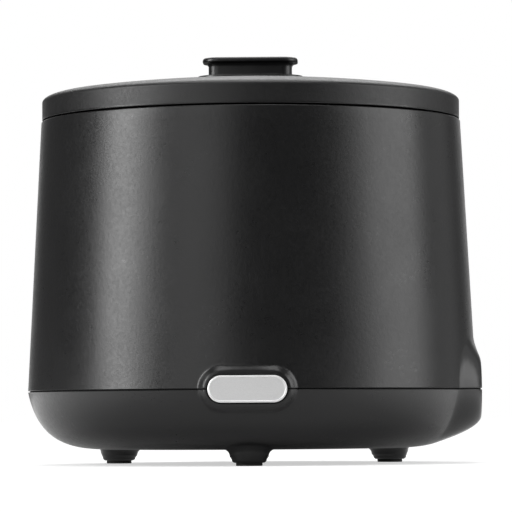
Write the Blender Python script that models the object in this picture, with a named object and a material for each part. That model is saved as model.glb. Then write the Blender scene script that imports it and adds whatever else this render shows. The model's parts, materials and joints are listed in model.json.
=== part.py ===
"""A soup kettle: two moulded housings round a steel well and its heater, a lift-out pot, and a lid.

Metres, +Z up. The origin is on the kettle's axis, on the surface that it stands on. The front, with
the bare plate, faces -Y. The control panel faces +X, and the cord gland faces +Y.
"""

import collections
import math

import bmesh
import bpy
from mathutils import Matrix, Vector

# Clearances
GAP = 0.0003  # between pieces that touch
SCREW_GAP = 0.0003  # round a screw's shank
SHAFT_GAP = 0.0003  # round the thermostat's spindle
MERGE = 0.000001

# Upper housing: a cone that narrows towards its rim
SEAM_Z = 0.05535
SEAM_GAP = 0.0012
SEAM_RADIUS = 0.170
SEAM_ROUND = 0.0005
TAPER = 0.0527  # radius lost for each metre of height
WALL = 0.0028
RIM_Z = 0.2596
RIM_ROUND = 0.0022
RIM_WIDTH = 0.0092369
RIM_INNER_ROUND = 0.0008
LEDGE_DROP = 0.0071
LEDGE_WIDTH = 0.016

# Lower housing: a bowl whose side is a quarter of a superellipse
BASE_Z = 0.0115
BOWL_REACH = 0.0706  # from its flat's edge out to the seam
BOWL_CENTRE_Z = 0.1071
BOWL_POWER = 3.36
TONGUE_HEIGHT = 0.0050  # of the inner half of the lap joint at the seam
LIP_WALL = 0.0012  # of its outer half
TONGUE_ROOT = 0.0035
VENT_CIRCLE_RADIUS = 0.064
VENT_LENGTH = 0.026
VENT_WIDTH = 0.004
VENT_COUNT = 6

# Raised pads that cross the seam: each a stadium with a flat face and a blended edge
PAD_PROUD = 0.002  # both flat faces, from the seam's radius
FRONT_PAD_STRAIGHT = 0.0184
FRONT_PAD_RADIUS = 0.0115
FRONT_PAD_BLEND = 0.0065
SIDE_PAD_STRAIGHT = 0.033
SIDE_PAD_RADIUS = 0.020
SIDE_PAD_BLEND = 0.020
FRONT_AZIMUTH = -90.0
SIDE_AZIMUTH = 0.0

# Bare plate in the front pad
PLATE_STRAIGHT = 0.018675
PLATE_RADIUS = 0.009725
PLATE_MARGIN = 0.0009
PLATE_POCKET = 0.0016
PLATE_PROUD = 0.0004
PLATE_BEVEL = 0.0009
PLATE_RIM = 0.0004
PLATE_FIELD_DEPTH = 0.0003

# Feet
FOOT_AZIMUTHS = {"front": -90.0, "right": 30.0, "left": 150.0}
FOOT_OUTSET = 0.0219  # from the edge of the bowl's flat
BOSS_RADIUS = 0.0142
BOSS_END_RADIUS = 0.0127
BOSS_FILLET = 0.0052
BOSS_END_ROUND = 0.0024
BOSS_WALL = 0.0030
PAD_RADIUS = 0.0096
PAD_THICKNESS = 0.0019
PAD_ROUND = 0.0004
STEM_RADIUS = 0.0023
BARB_RADIUS = 0.0036
BARB_HEIGHT = 0.0022

# Steel well, its gasket and its screws
STEEL = 0.0010
WELL_MARGIN = 0.006  # from the ledge's inner edge
WELL_DRAFT = 0.002
WELL_FLOOR_Z = 0.0550
WELL_CORNER = 0.014
WELL_FLANGE_MARGIN = 0.001  # from the rim's inner face
WELL_LIP_ROUND = 0.0030
GASKET_THICKNESS = 0.0012
GASKET_SETBACK = 0.0025  # from the ledge's inner edge
WELL_SCREW_AZIMUTHS = (45.0, 165.0, 285.0)
WELL_SCREW_INSET = 0.0045  # from the flange's edge
WELL_SCREW_RADIUS = 0.0015
WELL_SCREW_HEAD_RADIUS = 0.0030
WELL_SCREW_HEAD = 0.0018
WELL_SCREW_LENGTH = 0.0100
WELL_BOSS_RADIUS = 0.0040
WELL_BOSS_HEIGHT = 0.0075

# Glass-fibre band round the well
BAND_THICKNESS = 0.0060
BAND_RISE = 0.0420  # from the well's floor to its lower edge
BAND_DROP = 0.0185  # from the ledge to its upper edge

# Pot
POT_MARGIN = 0.010  # from the well's side
POT_DRAFT = 0.003
POT_RISE = 0.0135  # from the well's floor to its own
POT_CORNER = 0.020
POT_LIP_ROUND = 0.0025
POT_OVERLAP = 0.008  # of its flange on the well's
POT_BEAD_RADIUS = 0.0015

# Lid
LID_GAP = 0.0012  # between the housing's rim and the lid's skirt
LID_SETBACK = 0.0006  # the skirt's step in from the rim
LID_SIDE_HEIGHT = 0.0193  # up to the dome's edge
SHOULDER_WIDTH = 0.0161  # of the ellipse that joins the skirt to the dome
SHOULDER_RISE = 0.0062
SHOULDER_END = 70.0  # degrees round it, where the dome leaves it
LID_EDGE_ROUND = 0.0005
LID_WALL = 0.0022
DOME_RISE = 0.0103
LINER_WALL = 0.0015
LINER_RISE = 0.0015
LINER_STEP_MARGIN = 0.0020  # round the pot's bead
LINER_PLUG_GAP = 0.0025
LINER_PLUG_DEPTH = 0.0090
LINER_PLUG_ROUND = 0.0030
LINER_CROWN = 0.0060
RIB_HEIGHT = 0.0018
RIB_DEPTH = 0.0020
SEAL_THICKNESS = 0.0020
SEAL_INSET = 0.0035  # from the pot's side to its inner edge
SEAL_SETBACK = 0.0015  # from the flange's edge to its outer edge

# Lid handle
HANDLE_PLATE_STRAIGHT = 0.0182
HANDLE_PLATE_RADIUS = 0.0220
HANDLE_PLATE_RISE = 0.0042
HANDLE_PLATE_ROUND = 0.0014
HANDLE_PLATE_RIM = 0.0022
NECK_STRAIGHT = 0.0181
NECK_RADIUS = 0.0136
NECK_FILLET = 0.0034
GRIP_RADIUS = 0.0181
GRIP_THICKNESS = 0.0042
GRIP_ROUND = 0.0009
GRIP_CROWN = 0.0005
HANDLE_HEIGHT = 0.0141
HANDLE_SCREW_RADIUS = 0.0018
HANDLE_SCREW_HEAD_RADIUS = 0.0038
HANDLE_SCREW_HEAD = 0.0024
HANDLE_SCREW_BITE = 0.0065

# Heater under the well
HEAT_PLATE_RADIUS = 0.086
HEAT_PLATE_THICKNESS = 0.0040
RING_CIRCLE_RADIUS = 0.062
RING_TUBE_RADIUS = 0.0034
RING_OPENING = 40.0  # degrees between its two ends
RING_TAIL = 0.0150
RING_BEND = 0.0070
REFLECTOR_RADIUS = 0.094
REFLECTOR_WALL = 0.0008
REFLECTOR_LIP = 0.0070
STUD_RADIUS = 0.0030
STUD_HEAD_RADIUS = 0.0080
STUD_HEAD = 0.0015
STUD_END = 0.0015
WASHER_RADIUS = 0.0090
WASHER_THICKNESS = 0.0010
NUT_RADIUS = 0.0058
NUT_HEIGHT = 0.0050
CUTOUT_RADIUS = 0.0080
CUTOUT_HEIGHT = 0.0070
CUTOUT_OFFSET = 0.036
CUTOUT_AZIMUTH = 200.0

# Control panel in the side pad
PANEL_STRAIGHT = 0.033
PANEL_RADIUS = 0.0171
PANEL_MARGIN = 0.0004
PANEL_WALL = 0.0022
PANEL_SETBACK = 0.0008
PANEL_DEPTH = 0.0147
PANEL_DRAFT = 0.0008
PANEL_FLANGE = 0.0040
PANEL_FLANGE_WALL = 0.0020
PANEL_SEAT = 0.0003
PANEL_CHAMFER = 0.0004

# Knob
KNOB_RADIUS = 0.0125
KNOB_HEIGHT = 0.0130
KNOB_SKIRT = 0.0045
KNOB_LIFT = 0.0008
KNOB_BORE_DEPTH = 0.0070
KNOB_HOLLOW_RADIUS = 0.0100
KNOB_HOLLOW_DEPTH = 0.0034
KNOB_ROUND = 0.0008
KNOB_BAR_STRAIGHT = 0.0080
KNOB_BAR_RADIUS = 0.0042
POINTER_LENGTH = 0.0070
POINTER_WIDTH = 0.0012
POINTER_DEPTH = 0.0008

# Thermostat
SPINDLE_RADIUS = 0.0030
SPINDLE_REACH = 0.0065
SPINDLE_DEPTH = 0.0120
BUSH_RADIUS = 0.0048
BUSH_NUT_RADIUS = 0.0078
BUSH_NUT_HEIGHT = 0.0022
THERMOSTAT_DEPTH = 0.0200
THERMOSTAT_WIDTH = 0.0420
THERMOSTAT_HEIGHT = 0.0350
THERMOSTAT_ROUND = 0.0020
BULB_RADIUS = 0.0030
BULB_LENGTH = 0.0560
BULB_RISE = 0.0290  # from the well's floor
BULB_AZIMUTH = -24.0
CLIP_WALL = 0.0008
CLIP_WIDTH = 0.0120
CLIP_FOOT = 0.0060
CAPILLARY_RADIUS = 0.0010

# Pilot lamp
LAMP_OFFSET = 0.0310
LAMP_RADIUS = 0.0032
LAMP_CAP_RADIUS = 0.0045
LAMP_CAP_HEIGHT = 0.0016
LAMP_TAIL = 0.0120
LAMP_HOLDER_WALL = 0.0014
LAMP_HOLDER_LENGTH = 0.0140

# Cord gland and terminal block
GLAND_RISE = 0.02265  # from the seam
GLAND_BORE_RADIUS = 0.0042
GLAND_NECK_RADIUS = 0.0070
GLAND_FLANGE_RADIUS = 0.0100
GLAND_FLANGE = 0.0030
GLAND_LENGTH = 0.0160
GLAND_SPOTFACE = 0.0008
GLAND_NUT_RADIUS = 0.0105
GLAND_NUT_HEIGHT = 0.0045
BLOCK_LENGTH = 0.0340
BLOCK_WIDTH = 0.0180
BLOCK_HEIGHT = 0.0140
BLOCK_Y = 0.0820
BLOCK_WAYS = 3
BLOCK_SCREW_RADIUS = 0.0022

# Facets
LID_SEGMENTS = 40
SEGMENTS = 32
HEATER_SEGMENTS = 24
SMALL_SEGMENTS = 14
SCREW_SEGMENTS = 10
HOLE_SEGMENTS = 8
STADIUM_STEPS = 8
PLAIN_STEP = 8.6  # degrees between columns where the housing has no pad
BOWL_STEPS = 9
BOWL_INNER_STEPS = 5
FACE_SHARES = (0.5, 1)  # of a pad's radius, where its rows and columns lie
BLEND_SHARES = (0.33, 0.67, 1)  # of its blended edge
INNER_FACE_SHARES = (1,)
INNER_BLEND_SHARES = (0.5, 1)
ROW_CLEARANCE = 0.0012  # a pad's row this near another row is left out

Station = collections.namedtuple("Station", "radius height inset zone fine", defaults=("all", True))
Pad = collections.namedtuple("Pad", "zone azimuth straight radius blend")

FRONT_PAD = Pad("front", FRONT_AZIMUTH, FRONT_PAD_STRAIGHT, FRONT_PAD_RADIUS, FRONT_PAD_BLEND)
SIDE_PAD = Pad("side", SIDE_AZIMUTH, SIDE_PAD_STRAIGHT, SIDE_PAD_RADIUS, SIDE_PAD_BLEND)
PADS = (SIDE_PAD, FRONT_PAD)

# Radii that follow from the sizes above
RIM_INNER_RADIUS = SEAM_RADIUS - TAPER * (RIM_Z - SEAM_Z) - RIM_WIDTH
LEDGE_INNER_RADIUS = RIM_INNER_RADIUS - LEDGE_WIDTH
BASE_FLAT_RADIUS = SEAM_RADIUS - BOWL_REACH
PAD_REACH = SEAM_RADIUS + PAD_PROUD
FOOT_CIRCLE_RADIUS = BASE_FLAT_RADIUS + FOOT_OUTSET
WELL_TOP_RADIUS = LEDGE_INNER_RADIUS - WELL_MARGIN
WELL_BOTTOM_RADIUS = WELL_TOP_RADIUS - WELL_DRAFT
WELL_FLANGE_RADIUS = RIM_INNER_RADIUS - WELL_FLANGE_MARGIN
WELL_SCREW_CIRCLE_RADIUS = WELL_FLANGE_RADIUS - WELL_SCREW_INSET
GASKET_INNER_RADIUS = LEDGE_INNER_RADIUS + GASKET_SETBACK
POT_TOP_RADIUS = WELL_TOP_RADIUS - POT_MARGIN
POT_BOTTOM_RADIUS = POT_TOP_RADIUS - POT_DRAFT
POT_FLANGE_RADIUS = WELL_TOP_RADIUS + POT_OVERLAP
LINER_STEP_RADIUS = POT_FLANGE_RADIUS + 2 * POT_BEAD_RADIUS + LINER_STEP_MARGIN
SEAL_INNER_RADIUS = POT_TOP_RADIUS + SEAL_INSET
SEAL_OUTER_RADIUS = POT_FLANGE_RADIUS - SEAL_SETBACK

# Heights that follow
LOWER_SEAM_Z = SEAM_Z - SEAM_GAP / 2
UPPER_SEAM_Z = SEAM_Z + SEAM_GAP / 2
GLAND_Z = SEAM_Z + GLAND_RISE
LEDGE_Z = RIM_Z - LEDGE_DROP
GASKET_Z = LEDGE_Z + GAP
WELL_FLANGE_Z = GASKET_Z + GASKET_THICKNESS + GAP
BAND_LOW_Z = WELL_FLOOR_Z + BAND_RISE
BAND_HIGH_Z = LEDGE_Z - BAND_DROP
BULB_Z = WELL_FLOOR_Z + BULB_RISE
POT_FLOOR_Z = WELL_FLOOR_Z + POT_RISE
POT_BEAD_Z = WELL_FLANGE_Z + STEEL + GAP + POT_BEAD_RADIUS
POT_FLANGE_TOP_Z = POT_BEAD_Z + STEEL / 2
SEAL_Z = POT_FLANGE_TOP_Z + GAP
LINER_LAND_Z = SEAL_Z + SEAL_THICKNESS + GAP
LID_Z = RIM_Z + LID_GAP
LINER_FLANGE_Z = LID_Z + LINER_RISE
RIB_Z = LINER_FLANGE_Z + LINER_WALL + GAP
LID_CORNER_Z = LID_Z + LID_SIDE_HEIGHT
DOME_Z = LID_CORNER_Z + DOME_RISE
HANDLE_PLATE_TOP_Z = DOME_Z + HANDLE_PLATE_RISE
HEAT_PLATE_TOP_Z = WELL_FLOOR_Z - STEEL - GAP
HEAT_PLATE_Z = HEAT_PLATE_TOP_Z - HEAT_PLATE_THICKNESS
RING_Z = HEAT_PLATE_Z - GAP - RING_TUBE_RADIUS
REFLECTOR_TOP_Z = RING_Z - RING_TUBE_RADIUS - GAP
REFLECTOR_Z = REFLECTOR_TOP_Z - REFLECTOR_WALL
NUT_TOP_Z = REFLECTOR_Z - GAP
BOSS_BOTTOM_Z = PAD_THICKNESS + GAP
FLOOR_Z = BASE_Z + WALL
WASHER_TOP_Z = BASE_Z - GAP
BASE_NUT_TOP_Z = WASHER_TOP_Z - WASHER_THICKNESS - GAP

# Distances from the axis, on the control side
PANEL_FRONT_X = PAD_REACH - PANEL_SETBACK
PANEL_FLOOR_X = PANEL_FRONT_X - PANEL_DEPTH
PANEL_BACK_X = PANEL_FLOOR_X - PANEL_WALL
PANEL_SEAT_X = PAD_REACH - WALL + PANEL_SEAT
KNOB_X = PANEL_FLOOR_X + KNOB_LIFT
THERMOSTAT_X = PANEL_BACK_X - GAP


def clear_scene():
    for old in list(bpy.data.objects):
        bpy.data.objects.remove(old, do_unlink=True)


def finish(name, color, roughness, metallic=0.0):
    """A Principled material, made once."""
    if name in bpy.data.materials:
        return bpy.data.materials[name]
    made = bpy.data.materials.new(name)
    made.use_nodes = True
    shader = made.node_tree.nodes["Principled BSDF"]
    shader.inputs["Base Color"].default_value = (*color, 1.0)
    shader.inputs["Roughness"].default_value = roughness
    shader.inputs["Metallic"].default_value = metallic
    made.diffuse_color = (*color, 1.0)
    return made


def black_plastic():
    return finish("black_plastic", (0.035, 0.035, 0.037), 0.42)


def black_rubber():
    return finish("black_rubber", (0.015, 0.015, 0.015), 0.75)


def stainless():
    return finish("stainless", (0.62, 0.62, 0.61), 0.28, 1.0)


def aluminium():
    return finish("aluminium", (0.74, 0.74, 0.74), 0.38, 1.0)


def zinc():
    return finish("zinc", (0.66, 0.67, 0.68), 0.35, 1.0)


def silicone():
    return finish("silicone", (0.62, 0.61, 0.58), 0.55)


def glass_fibre():
    return finish("glass_fibre", (0.78, 0.75, 0.62), 0.95)


def pale_nylon():
    return finish("pale_nylon", (0.75, 0.73, 0.66), 0.5)


def lamp_red():
    return finish("lamp_red", (0.55, 0.04, 0.02), 0.2)


def pointer_white():
    return finish("pointer_white", (0.85, 0.85, 0.85), 0.5)


def brass():
    return finish("brass", (0.75, 0.55, 0.25), 0.35, 1.0)


def finished(name, mesh_data, look, matrix=None):
    """An object from a bmesh, with its faces pointing out and its material set."""
    bmesh.ops.remove_doubles(mesh_data, verts=mesh_data.verts, dist=MERGE)
    bmesh.ops.recalc_face_normals(mesh_data, faces=mesh_data.faces)
    mesh = bpy.data.meshes.new(name)
    mesh_data.to_mesh(mesh)
    mesh_data.free()
    mesh.materials.append(look)
    mesh.shade_smooth()
    mesh.set_sharp_from_angle(angle=math.radians(30))
    made = bpy.data.objects.new(name, mesh)
    bpy.context.scene.collection.objects.link(made)
    if matrix is not None:
        made.matrix_world = matrix
    return made


def boolean(target, tool, operation):
    step = target.modifiers.new(tool.name, "BOOLEAN")
    step.operation = operation
    step.solver = "EXACT"
    step.object = tool
    tool.hide_render = True
    tool.display_type = "WIRE"


def cut(target, tool):
    boolean(target, tool, "DIFFERENCE")


def join(target, tool):
    boolean(target, tool, "UNION")


def arc(centre_radius, centre_height, radius, start, end, steps):
    """Points of an arc in a section, at angles in degrees from outwards towards up."""
    angles = [math.radians(start + (end - start) * i / steps) for i in range(steps + 1)]
    return [(centre_radius + radius * math.cos(a), centre_height + radius * math.sin(a)) for a in angles]


def polar(radius, azimuth, height=0.0):
    angle = math.radians(azimuth)
    return Vector((radius * math.cos(angle), radius * math.sin(angle), height))


def facing(azimuth, origin):
    """A frame whose Z points away from the kettle's axis, and whose Y points up."""
    outward = polar(1.0, azimuth)
    up = Vector((0.0, 0.0, 1.0))
    across = up.cross(outward)
    turn = Matrix((across, up, outward)).transposed().to_4x4()
    return Matrix.Translation(origin) @ turn


def turned(name, section, look, segments=SEGMENTS, matrix=None):
    """A solid of revolution about local Z. A section that ends off the axis is closed back to its start."""
    work = bmesh.new()
    points = [work.verts.new((radius, 0.0, height)) for radius, height in section]
    edges = [work.edges.new(pair) for pair in zip(points, points[1:])]
    if max(section[0][0], section[-1][0]) > 0:
        edges.append(work.edges.new((points[-1], points[0])))
    bmesh.ops.spin(
        work,
        geom=points + edges,
        cent=(0.0, 0.0, 0.0),
        axis=(0.0, 0.0, 1.0),
        angle=2 * math.pi,
        steps=segments,
        use_merge=True,
    )
    bmesh.ops.remove_doubles(work, verts=work.verts, dist=MERGE)
    on_axis = [edge for edge in work.edges if not edge.link_faces]
    bmesh.ops.delete(work, geom=on_axis, context="EDGES")
    return finished(name, work, look, matrix)


def lofted(name, rings, look, matrix=None):
    """A solid through rings of equal count, with one face across each end."""
    work = bmesh.new()
    loops = [[work.verts.new(point) for point in ring] for ring in rings]
    work.faces.new(loops[0])
    work.faces.new(loops[-1])
    count = len(loops[0])
    for low, high in zip(loops, loops[1:]):
        for i in range(count):
            j = (i + 1) % count
            work.faces.new((low[i], low[j], high[j], high[i]))
    return finished(name, work, look, matrix)


def stadium(straight, radius, height, steps=STADIUM_STEPS):
    """Two half circles joined by straight sides, with the long side along X."""
    ring = []
    for side in (1, -1):
        for i in range(steps + 1):
            angle = math.radians(180 * i / steps - 90)
            x = side * (straight + radius * math.cos(angle))
            ring.append(Vector((x, side * radius * math.sin(angle), height)))
    return ring


def stadium_solid(name, straight, section, look, matrix=None, steps=STADIUM_STEPS):
    """A stadium through (radius, height) pairs, all with the same straight length."""
    rings = [stadium(straight, radius, height, steps) for radius, height in section]
    return lofted(name, rings, look, matrix)


def rod(name, radius, low, high, look, segments=SMALL_SEGMENTS, matrix=None):
    return turned(name, [(0, low), (radius, low), (radius, high), (0, high)], look, segments, matrix)


def round_cutter(name, radius, low, high, matrix):
    """A round helper, for a boss or a wide hole in the plastic."""
    return rod(name, radius, low, high, black_plastic(), SMALL_SEGMENTS, matrix)


def hole_cutter(name, radius, low, high, matrix):
    """A round helper for a small hole."""
    return rod(name, radius, low, high, black_plastic(), HOLE_SEGMENTS, matrix)


def block(name, low, high, look, matrix=None):
    """A box between two corners."""
    corners = [(low[0], low[1]), (high[0], low[1]), (high[0], high[1]), (low[0], high[1])]
    rings = [[(x, y, z) for x, y in corners] for z in (low[2], high[2])]
    return lofted(name, rings, look, matrix)


def offset(path, distance):
    """An open path moved to its left by a distance, with mitred corners."""
    points = [Vector(point) for point in path]
    moved = []
    for i, point in enumerate(points):
        sides = []
        if i > 0:
            sides.append((point - points[i - 1]).normalized())
        if i < len(points) - 1:
            sides.append((points[i + 1] - point).normalized())
        normals = [Vector((-side.y, side.x)) for side in sides]
        middle = sum(normals, Vector((0.0, 0.0))).normalized()
        moved.append(point + middle * distance / middle.dot(normals[0]))
    return [tuple(point) for point in moved]


def sheet_section(path, thickness):
    """The closed section of a sheet that lies to the left of a path."""
    return list(path) + list(reversed(offset(path, thickness)))


def upper_radius(height):
    """The upper housing's outer radius."""
    return SEAM_RADIUS - TAPER * (height - SEAM_Z)


def bowl_width():
    """Half the superellipse's width, such that the bowl reaches the seam's radius at the seam."""
    share = (BOWL_CENTRE_Z - LOWER_SEAM_Z) / (BOWL_CENTRE_Z - BASE_Z)
    return (SEAM_RADIUS - BASE_FLAT_RADIUS) / (1 - share**BOWL_POWER) ** (1 / BOWL_POWER)


def bowl_radius(height):
    share = (BOWL_CENTRE_Z - height) / (BOWL_CENTRE_Z - BASE_Z)
    return BASE_FLAT_RADIUS + bowl_width() * max(1 - share**BOWL_POWER, 0.0) ** (1 / BOWL_POWER)


def bowl_height(radius):
    """Height of the bowl's outer face at a radius."""
    share = min(max(radius - BASE_FLAT_RADIUS, 0.0) / bowl_width(), 1.0)
    return BOWL_CENTRE_Z - (BOWL_CENTRE_Z - BASE_Z) * (1 - share**BOWL_POWER) ** (1 / BOWL_POWER)


def bowl_levels(steps, top):
    """Heights that divide the bowl's side, from its flat to a top height, into nearly equal lengths."""
    samples = 400
    reach = bowl_radius(top) - BASE_FLAT_RADIUS
    radii = [BASE_FLAT_RADIUS + reach * i / samples for i in range(samples + 1)]
    curve = [(radius, bowl_height(radius)) for radius in radii]
    lengths = [0.0]
    for low, high in zip(curve, curve[1:]):
        lengths.append(lengths[-1] + math.dist(low, high))
    levels = []
    for step in range(steps + 1):
        target = lengths[-1] * step / steps
        index = min(range(samples + 1), key=lambda i: abs(lengths[i] - target))
        levels.append(curve[index][1])
    return levels


def bowl_inner_point(height):
    """The point of the bowl's inner face behind its outer face at a height."""
    probe = 0.00002
    slope = (bowl_radius(height + probe) - bowl_radius(height)) / probe
    length = math.hypot(1.0, slope)
    return bowl_radius(height) - WALL / length, height + WALL * slope / length


def pad_point(point, inset):
    """A point of the housing, drawn out to a pad's face where it is within one."""
    for pad in PADS:
        outward = polar(1.0, pad.azimuth)
        along = Vector((-outward.y, outward.x, 0.0))
        reach = point.dot(outward)
        beyond = max(abs(point.dot(along)) - pad.straight, 0.0)
        distance = math.hypot(beyond, point.z - SEAM_Z)
        if reach <= 0 or distance >= pad.radius + pad.blend:
            continue
        share = max((distance - pad.radius) / pad.blend, 0.0)
        weight = 1 - share * share * (3 - 2 * share)
        point = point + outward * (PAD_REACH - inset - reach) * weight
    return point


def pad_distances(pad, face_shares, blend_shares):
    """Distances from a pad's middle line at which its face and its blended edge are divided."""
    face = [pad.radius * share for share in face_shares]
    return face + [pad.radius + pad.blend * share for share in blend_shares]


def pad_columns(pad):
    """Angles of the columns that shape a pad, from its low side to its high side."""
    rise = pad_distances(pad, FACE_SHARES, BLEND_SHARES)
    half = [0.0, pad.straight] + [pad.straight + distance for distance in rise]
    both = [-distance for distance in reversed(half[1:])] + half
    return [pad.azimuth + math.degrees(math.asin(distance / SEAM_RADIUS)) for distance in both]


def housing_columns():
    """All column angles round the housing, and the runs of columns as (zone, first, last)."""
    angles = []
    groups = []
    windows = [pad_columns(pad) for pad in PADS]
    windows[1] = [angle + 360 for angle in windows[1]]
    starts = [window[0] for window in windows] + [windows[0][0] + 360]
    for pad, window, following in zip(PADS, windows, starts[1:]):
        groups.append((pad.zone, len(angles), len(angles) + len(window) - 1))
        angles += window
        strips = max(round((following - window[-1]) / PLAIN_STEP), 1)
        groups.append(("plain", len(angles) - 1, len(angles) - 1 + strips))
        angles += [window[-1] + (following - window[-1]) * i / strips for i in range(1, strips)]
    return angles, groups


def housing_patches(stations, groups, closed):
    """Faces of the wall as (low row, high row, first column, last column)."""
    patches = []
    for zone, first, last in groups:
        rows = [i for i, station in enumerate(stations) if station.zone in ("all", zone)]
        if closed:
            rows.append(rows[0] + len(stations))
        for low, high in zip(rows, rows[1:]):
            fine = zone == "plain" or (stations[low].fine and stations[high % len(stations)].fine)
            step = 1 if fine else 2
            for column in range(first, last, step):
                patches.append((low, high, column, min(column + step, last)))
    return patches


def housing_wall(name, stations, closed, look):
    """A wall swept round the axis. Where a row or column ends, the next face has an extra corner."""
    angles, groups = housing_columns()
    patches = housing_patches(stations, groups, closed)
    rows, columns = len(stations), len(angles)
    work = bmesh.new()
    verts = {}
    for low, high, first, last in patches:
        for row in (low, high):
            for column in (first, last):
                station = stations[row % rows]
                place = polar(station.radius, angles[column % columns], station.height)
                key = (row % rows, column % columns)
                if key not in verts:
                    verts[key] = work.verts.new(pad_point(place, station.inset))
    for low, high, first, last in patches:
        edge = [(low, column) for column in range(first, last)]
        edge += [(row, last) for row in range(low, high)]
        edge += [(high, column) for column in range(last, first, -1)]
        edge += [(row, first) for row in range(high, low, -1)]
        keys = [(row % rows, column % columns) for row, column in edge]
        work.faces.new([verts[key] for key in keys if key in verts])
    if not closed:
        for row in (0, rows - 1):
            work.faces.new([verts[row, column] for column in range(columns) if (row, column) in verts])
    many = [face for face in work.faces if len(face.verts) > 4]
    bmesh.ops.triangulate(work, faces=many)
    return finished(name, work, look)


def with_pad_rows(levels, sign, face_shares, blend_shares):
    """Heights with the zone that uses them: the levels everywhere, and each pad's rows near it."""
    rows = [(level, "all") for level in levels]
    for pad in PADS:
        for distance in pad_distances(pad, face_shares, blend_shares):
            height = SEAM_Z + sign * distance
            if min(abs(height - level) for level in levels) > ROW_CLEARANCE:
                rows.append((height, pad.zone))
    return sorted(rows)


def upper_stations():
    """The upper housing's section: up its outside, over the rim, along the ledge, down to the lap joint."""
    rim_radius = upper_radius(RIM_Z)
    low, high = UPPER_SEAM_Z + SEAM_ROUND, RIM_Z - RIM_ROUND
    outside = with_pad_rows((low, high), 1, FACE_SHARES, BLEND_SHARES)
    stations = [Station(SEAM_RADIUS - SEAM_ROUND, UPPER_SEAM_Z, SEAM_ROUND)]
    stations += [Station(upper_radius(height), height, 0.0, zone) for height, zone in outside]
    rim = arc(rim_radius - RIM_ROUND, RIM_Z - RIM_ROUND, RIM_ROUND, 0, 90, 2)[1:]
    stations += [Station(radius, height, 0.0) for radius, height in rim]
    inner = RIM_INNER_RADIUS
    ledge_low = LEDGE_Z - WALL
    channel = RIM_Z - WALL
    coarse = [
        (inner + RIM_INNER_ROUND, RIM_Z),
        (inner, RIM_Z - RIM_INNER_ROUND),
        (inner, LEDGE_Z),
        (LEDGE_INNER_RADIUS, LEDGE_Z),
        (LEDGE_INNER_RADIUS, ledge_low),
        (inner + WALL, ledge_low),
        (inner + WALL, channel),
        (upper_radius(channel) - WALL, channel),
    ]
    stations += [Station(radius, height, 0.0, fine=False) for radius, height in coarse]
    shelf = LOWER_SEAM_Z + TONGUE_HEIGHT + GAP
    inside = with_pad_rows((shelf, ledge_low), 1, INNER_FACE_SHARES, INNER_BLEND_SHARES)
    for height, zone in reversed(inside):
        if shelf <= height < ledge_low:
            fine = height == shelf
            stations.append(Station(upper_radius(height) - WALL, height, WALL, zone, fine))
    stations.append(Station(upper_radius(shelf) - LIP_WALL, shelf, LIP_WALL))
    stations.append(Station(SEAM_RADIUS - LIP_WALL, UPPER_SEAM_Z, LIP_WALL))
    return stations


def lower_stations():
    """The lower housing's section: from the flat's edge up the bowl, over the tongue and down inside."""
    top = LOWER_SEAM_Z - SEAM_ROUND
    outside = with_pad_rows(bowl_levels(BOWL_STEPS, top), -1, FACE_SHARES, BLEND_SHARES)
    stations = [Station(bowl_radius(height), height, 0.0, zone) for height, zone in outside]
    stations.append(Station(SEAM_RADIUS - SEAM_ROUND, LOWER_SEAM_Z, SEAM_ROUND))
    face = LIP_WALL + GAP
    tip = LOWER_SEAM_Z + TONGUE_HEIGHT
    stations.append(Station(SEAM_RADIUS - face, LOWER_SEAM_Z, face))
    stations.append(Station(upper_radius(tip) - face, tip, face))
    stations.append(Station(upper_radius(tip) - WALL, tip, WALL))
    shoulder = LOWER_SEAM_Z - TONGUE_ROOT
    levels = bowl_levels(BOWL_INNER_STEPS, shoulder)
    inside = with_pad_rows(levels, -1, INNER_FACE_SHARES, INNER_BLEND_SHARES)
    for height, zone in reversed(inside):
        if height <= shoulder:
            radius, inner_height = bowl_inner_point(height)
            stations.append(Station(radius, inner_height, WALL, zone, False))
    return stations


def bowl_stud(name, radius, azimuth, rings, look, segments=SMALL_SEGMENTS):
    """An upright round solid on the bowl, through (ring radius, height, whether above the bowl's face)."""
    centre = polar(radius, azimuth)
    loops = []
    for ring_radius, height, on_bowl in rings:
        loop = []
        for i in range(segments):
            point = centre + polar(ring_radius, 360 * i / segments)
            base = bowl_height(math.hypot(point.x, point.y)) if on_bowl else 0.0
            loop.append((point.x, point.y, base + height))
        loops.append(loop)
    return lofted(name, loops, look)


def foot_boss(azimuth):
    """A hollow foot boss that flares into the bowl's underside."""
    look = black_plastic()
    name = f"boss_{azimuth:.0f}"
    flare = BOSS_RADIUS + BOSS_FILLET
    rings = [(flare - WALL / 2, WALL / 2, True), (flare, GAP, True)]
    for radius, height in arc(flare, -BOSS_FILLET, BOSS_FILLET, 110, 180, 3):
        rings.append((radius, height, True))
    rings.append((BOSS_END_RADIUS, BOSS_BOTTOM_Z + BOSS_END_ROUND, False))
    flat = BOSS_END_RADIUS - BOSS_END_ROUND
    for radius, height in arc(flat, BOSS_BOTTOM_Z + BOSS_END_ROUND, BOSS_END_ROUND, -45, -90, 1):
        rings.append((radius, height, False))
    return bowl_stud(name, FOOT_CIRCLE_RADIUS, azimuth, rings, look)


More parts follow.
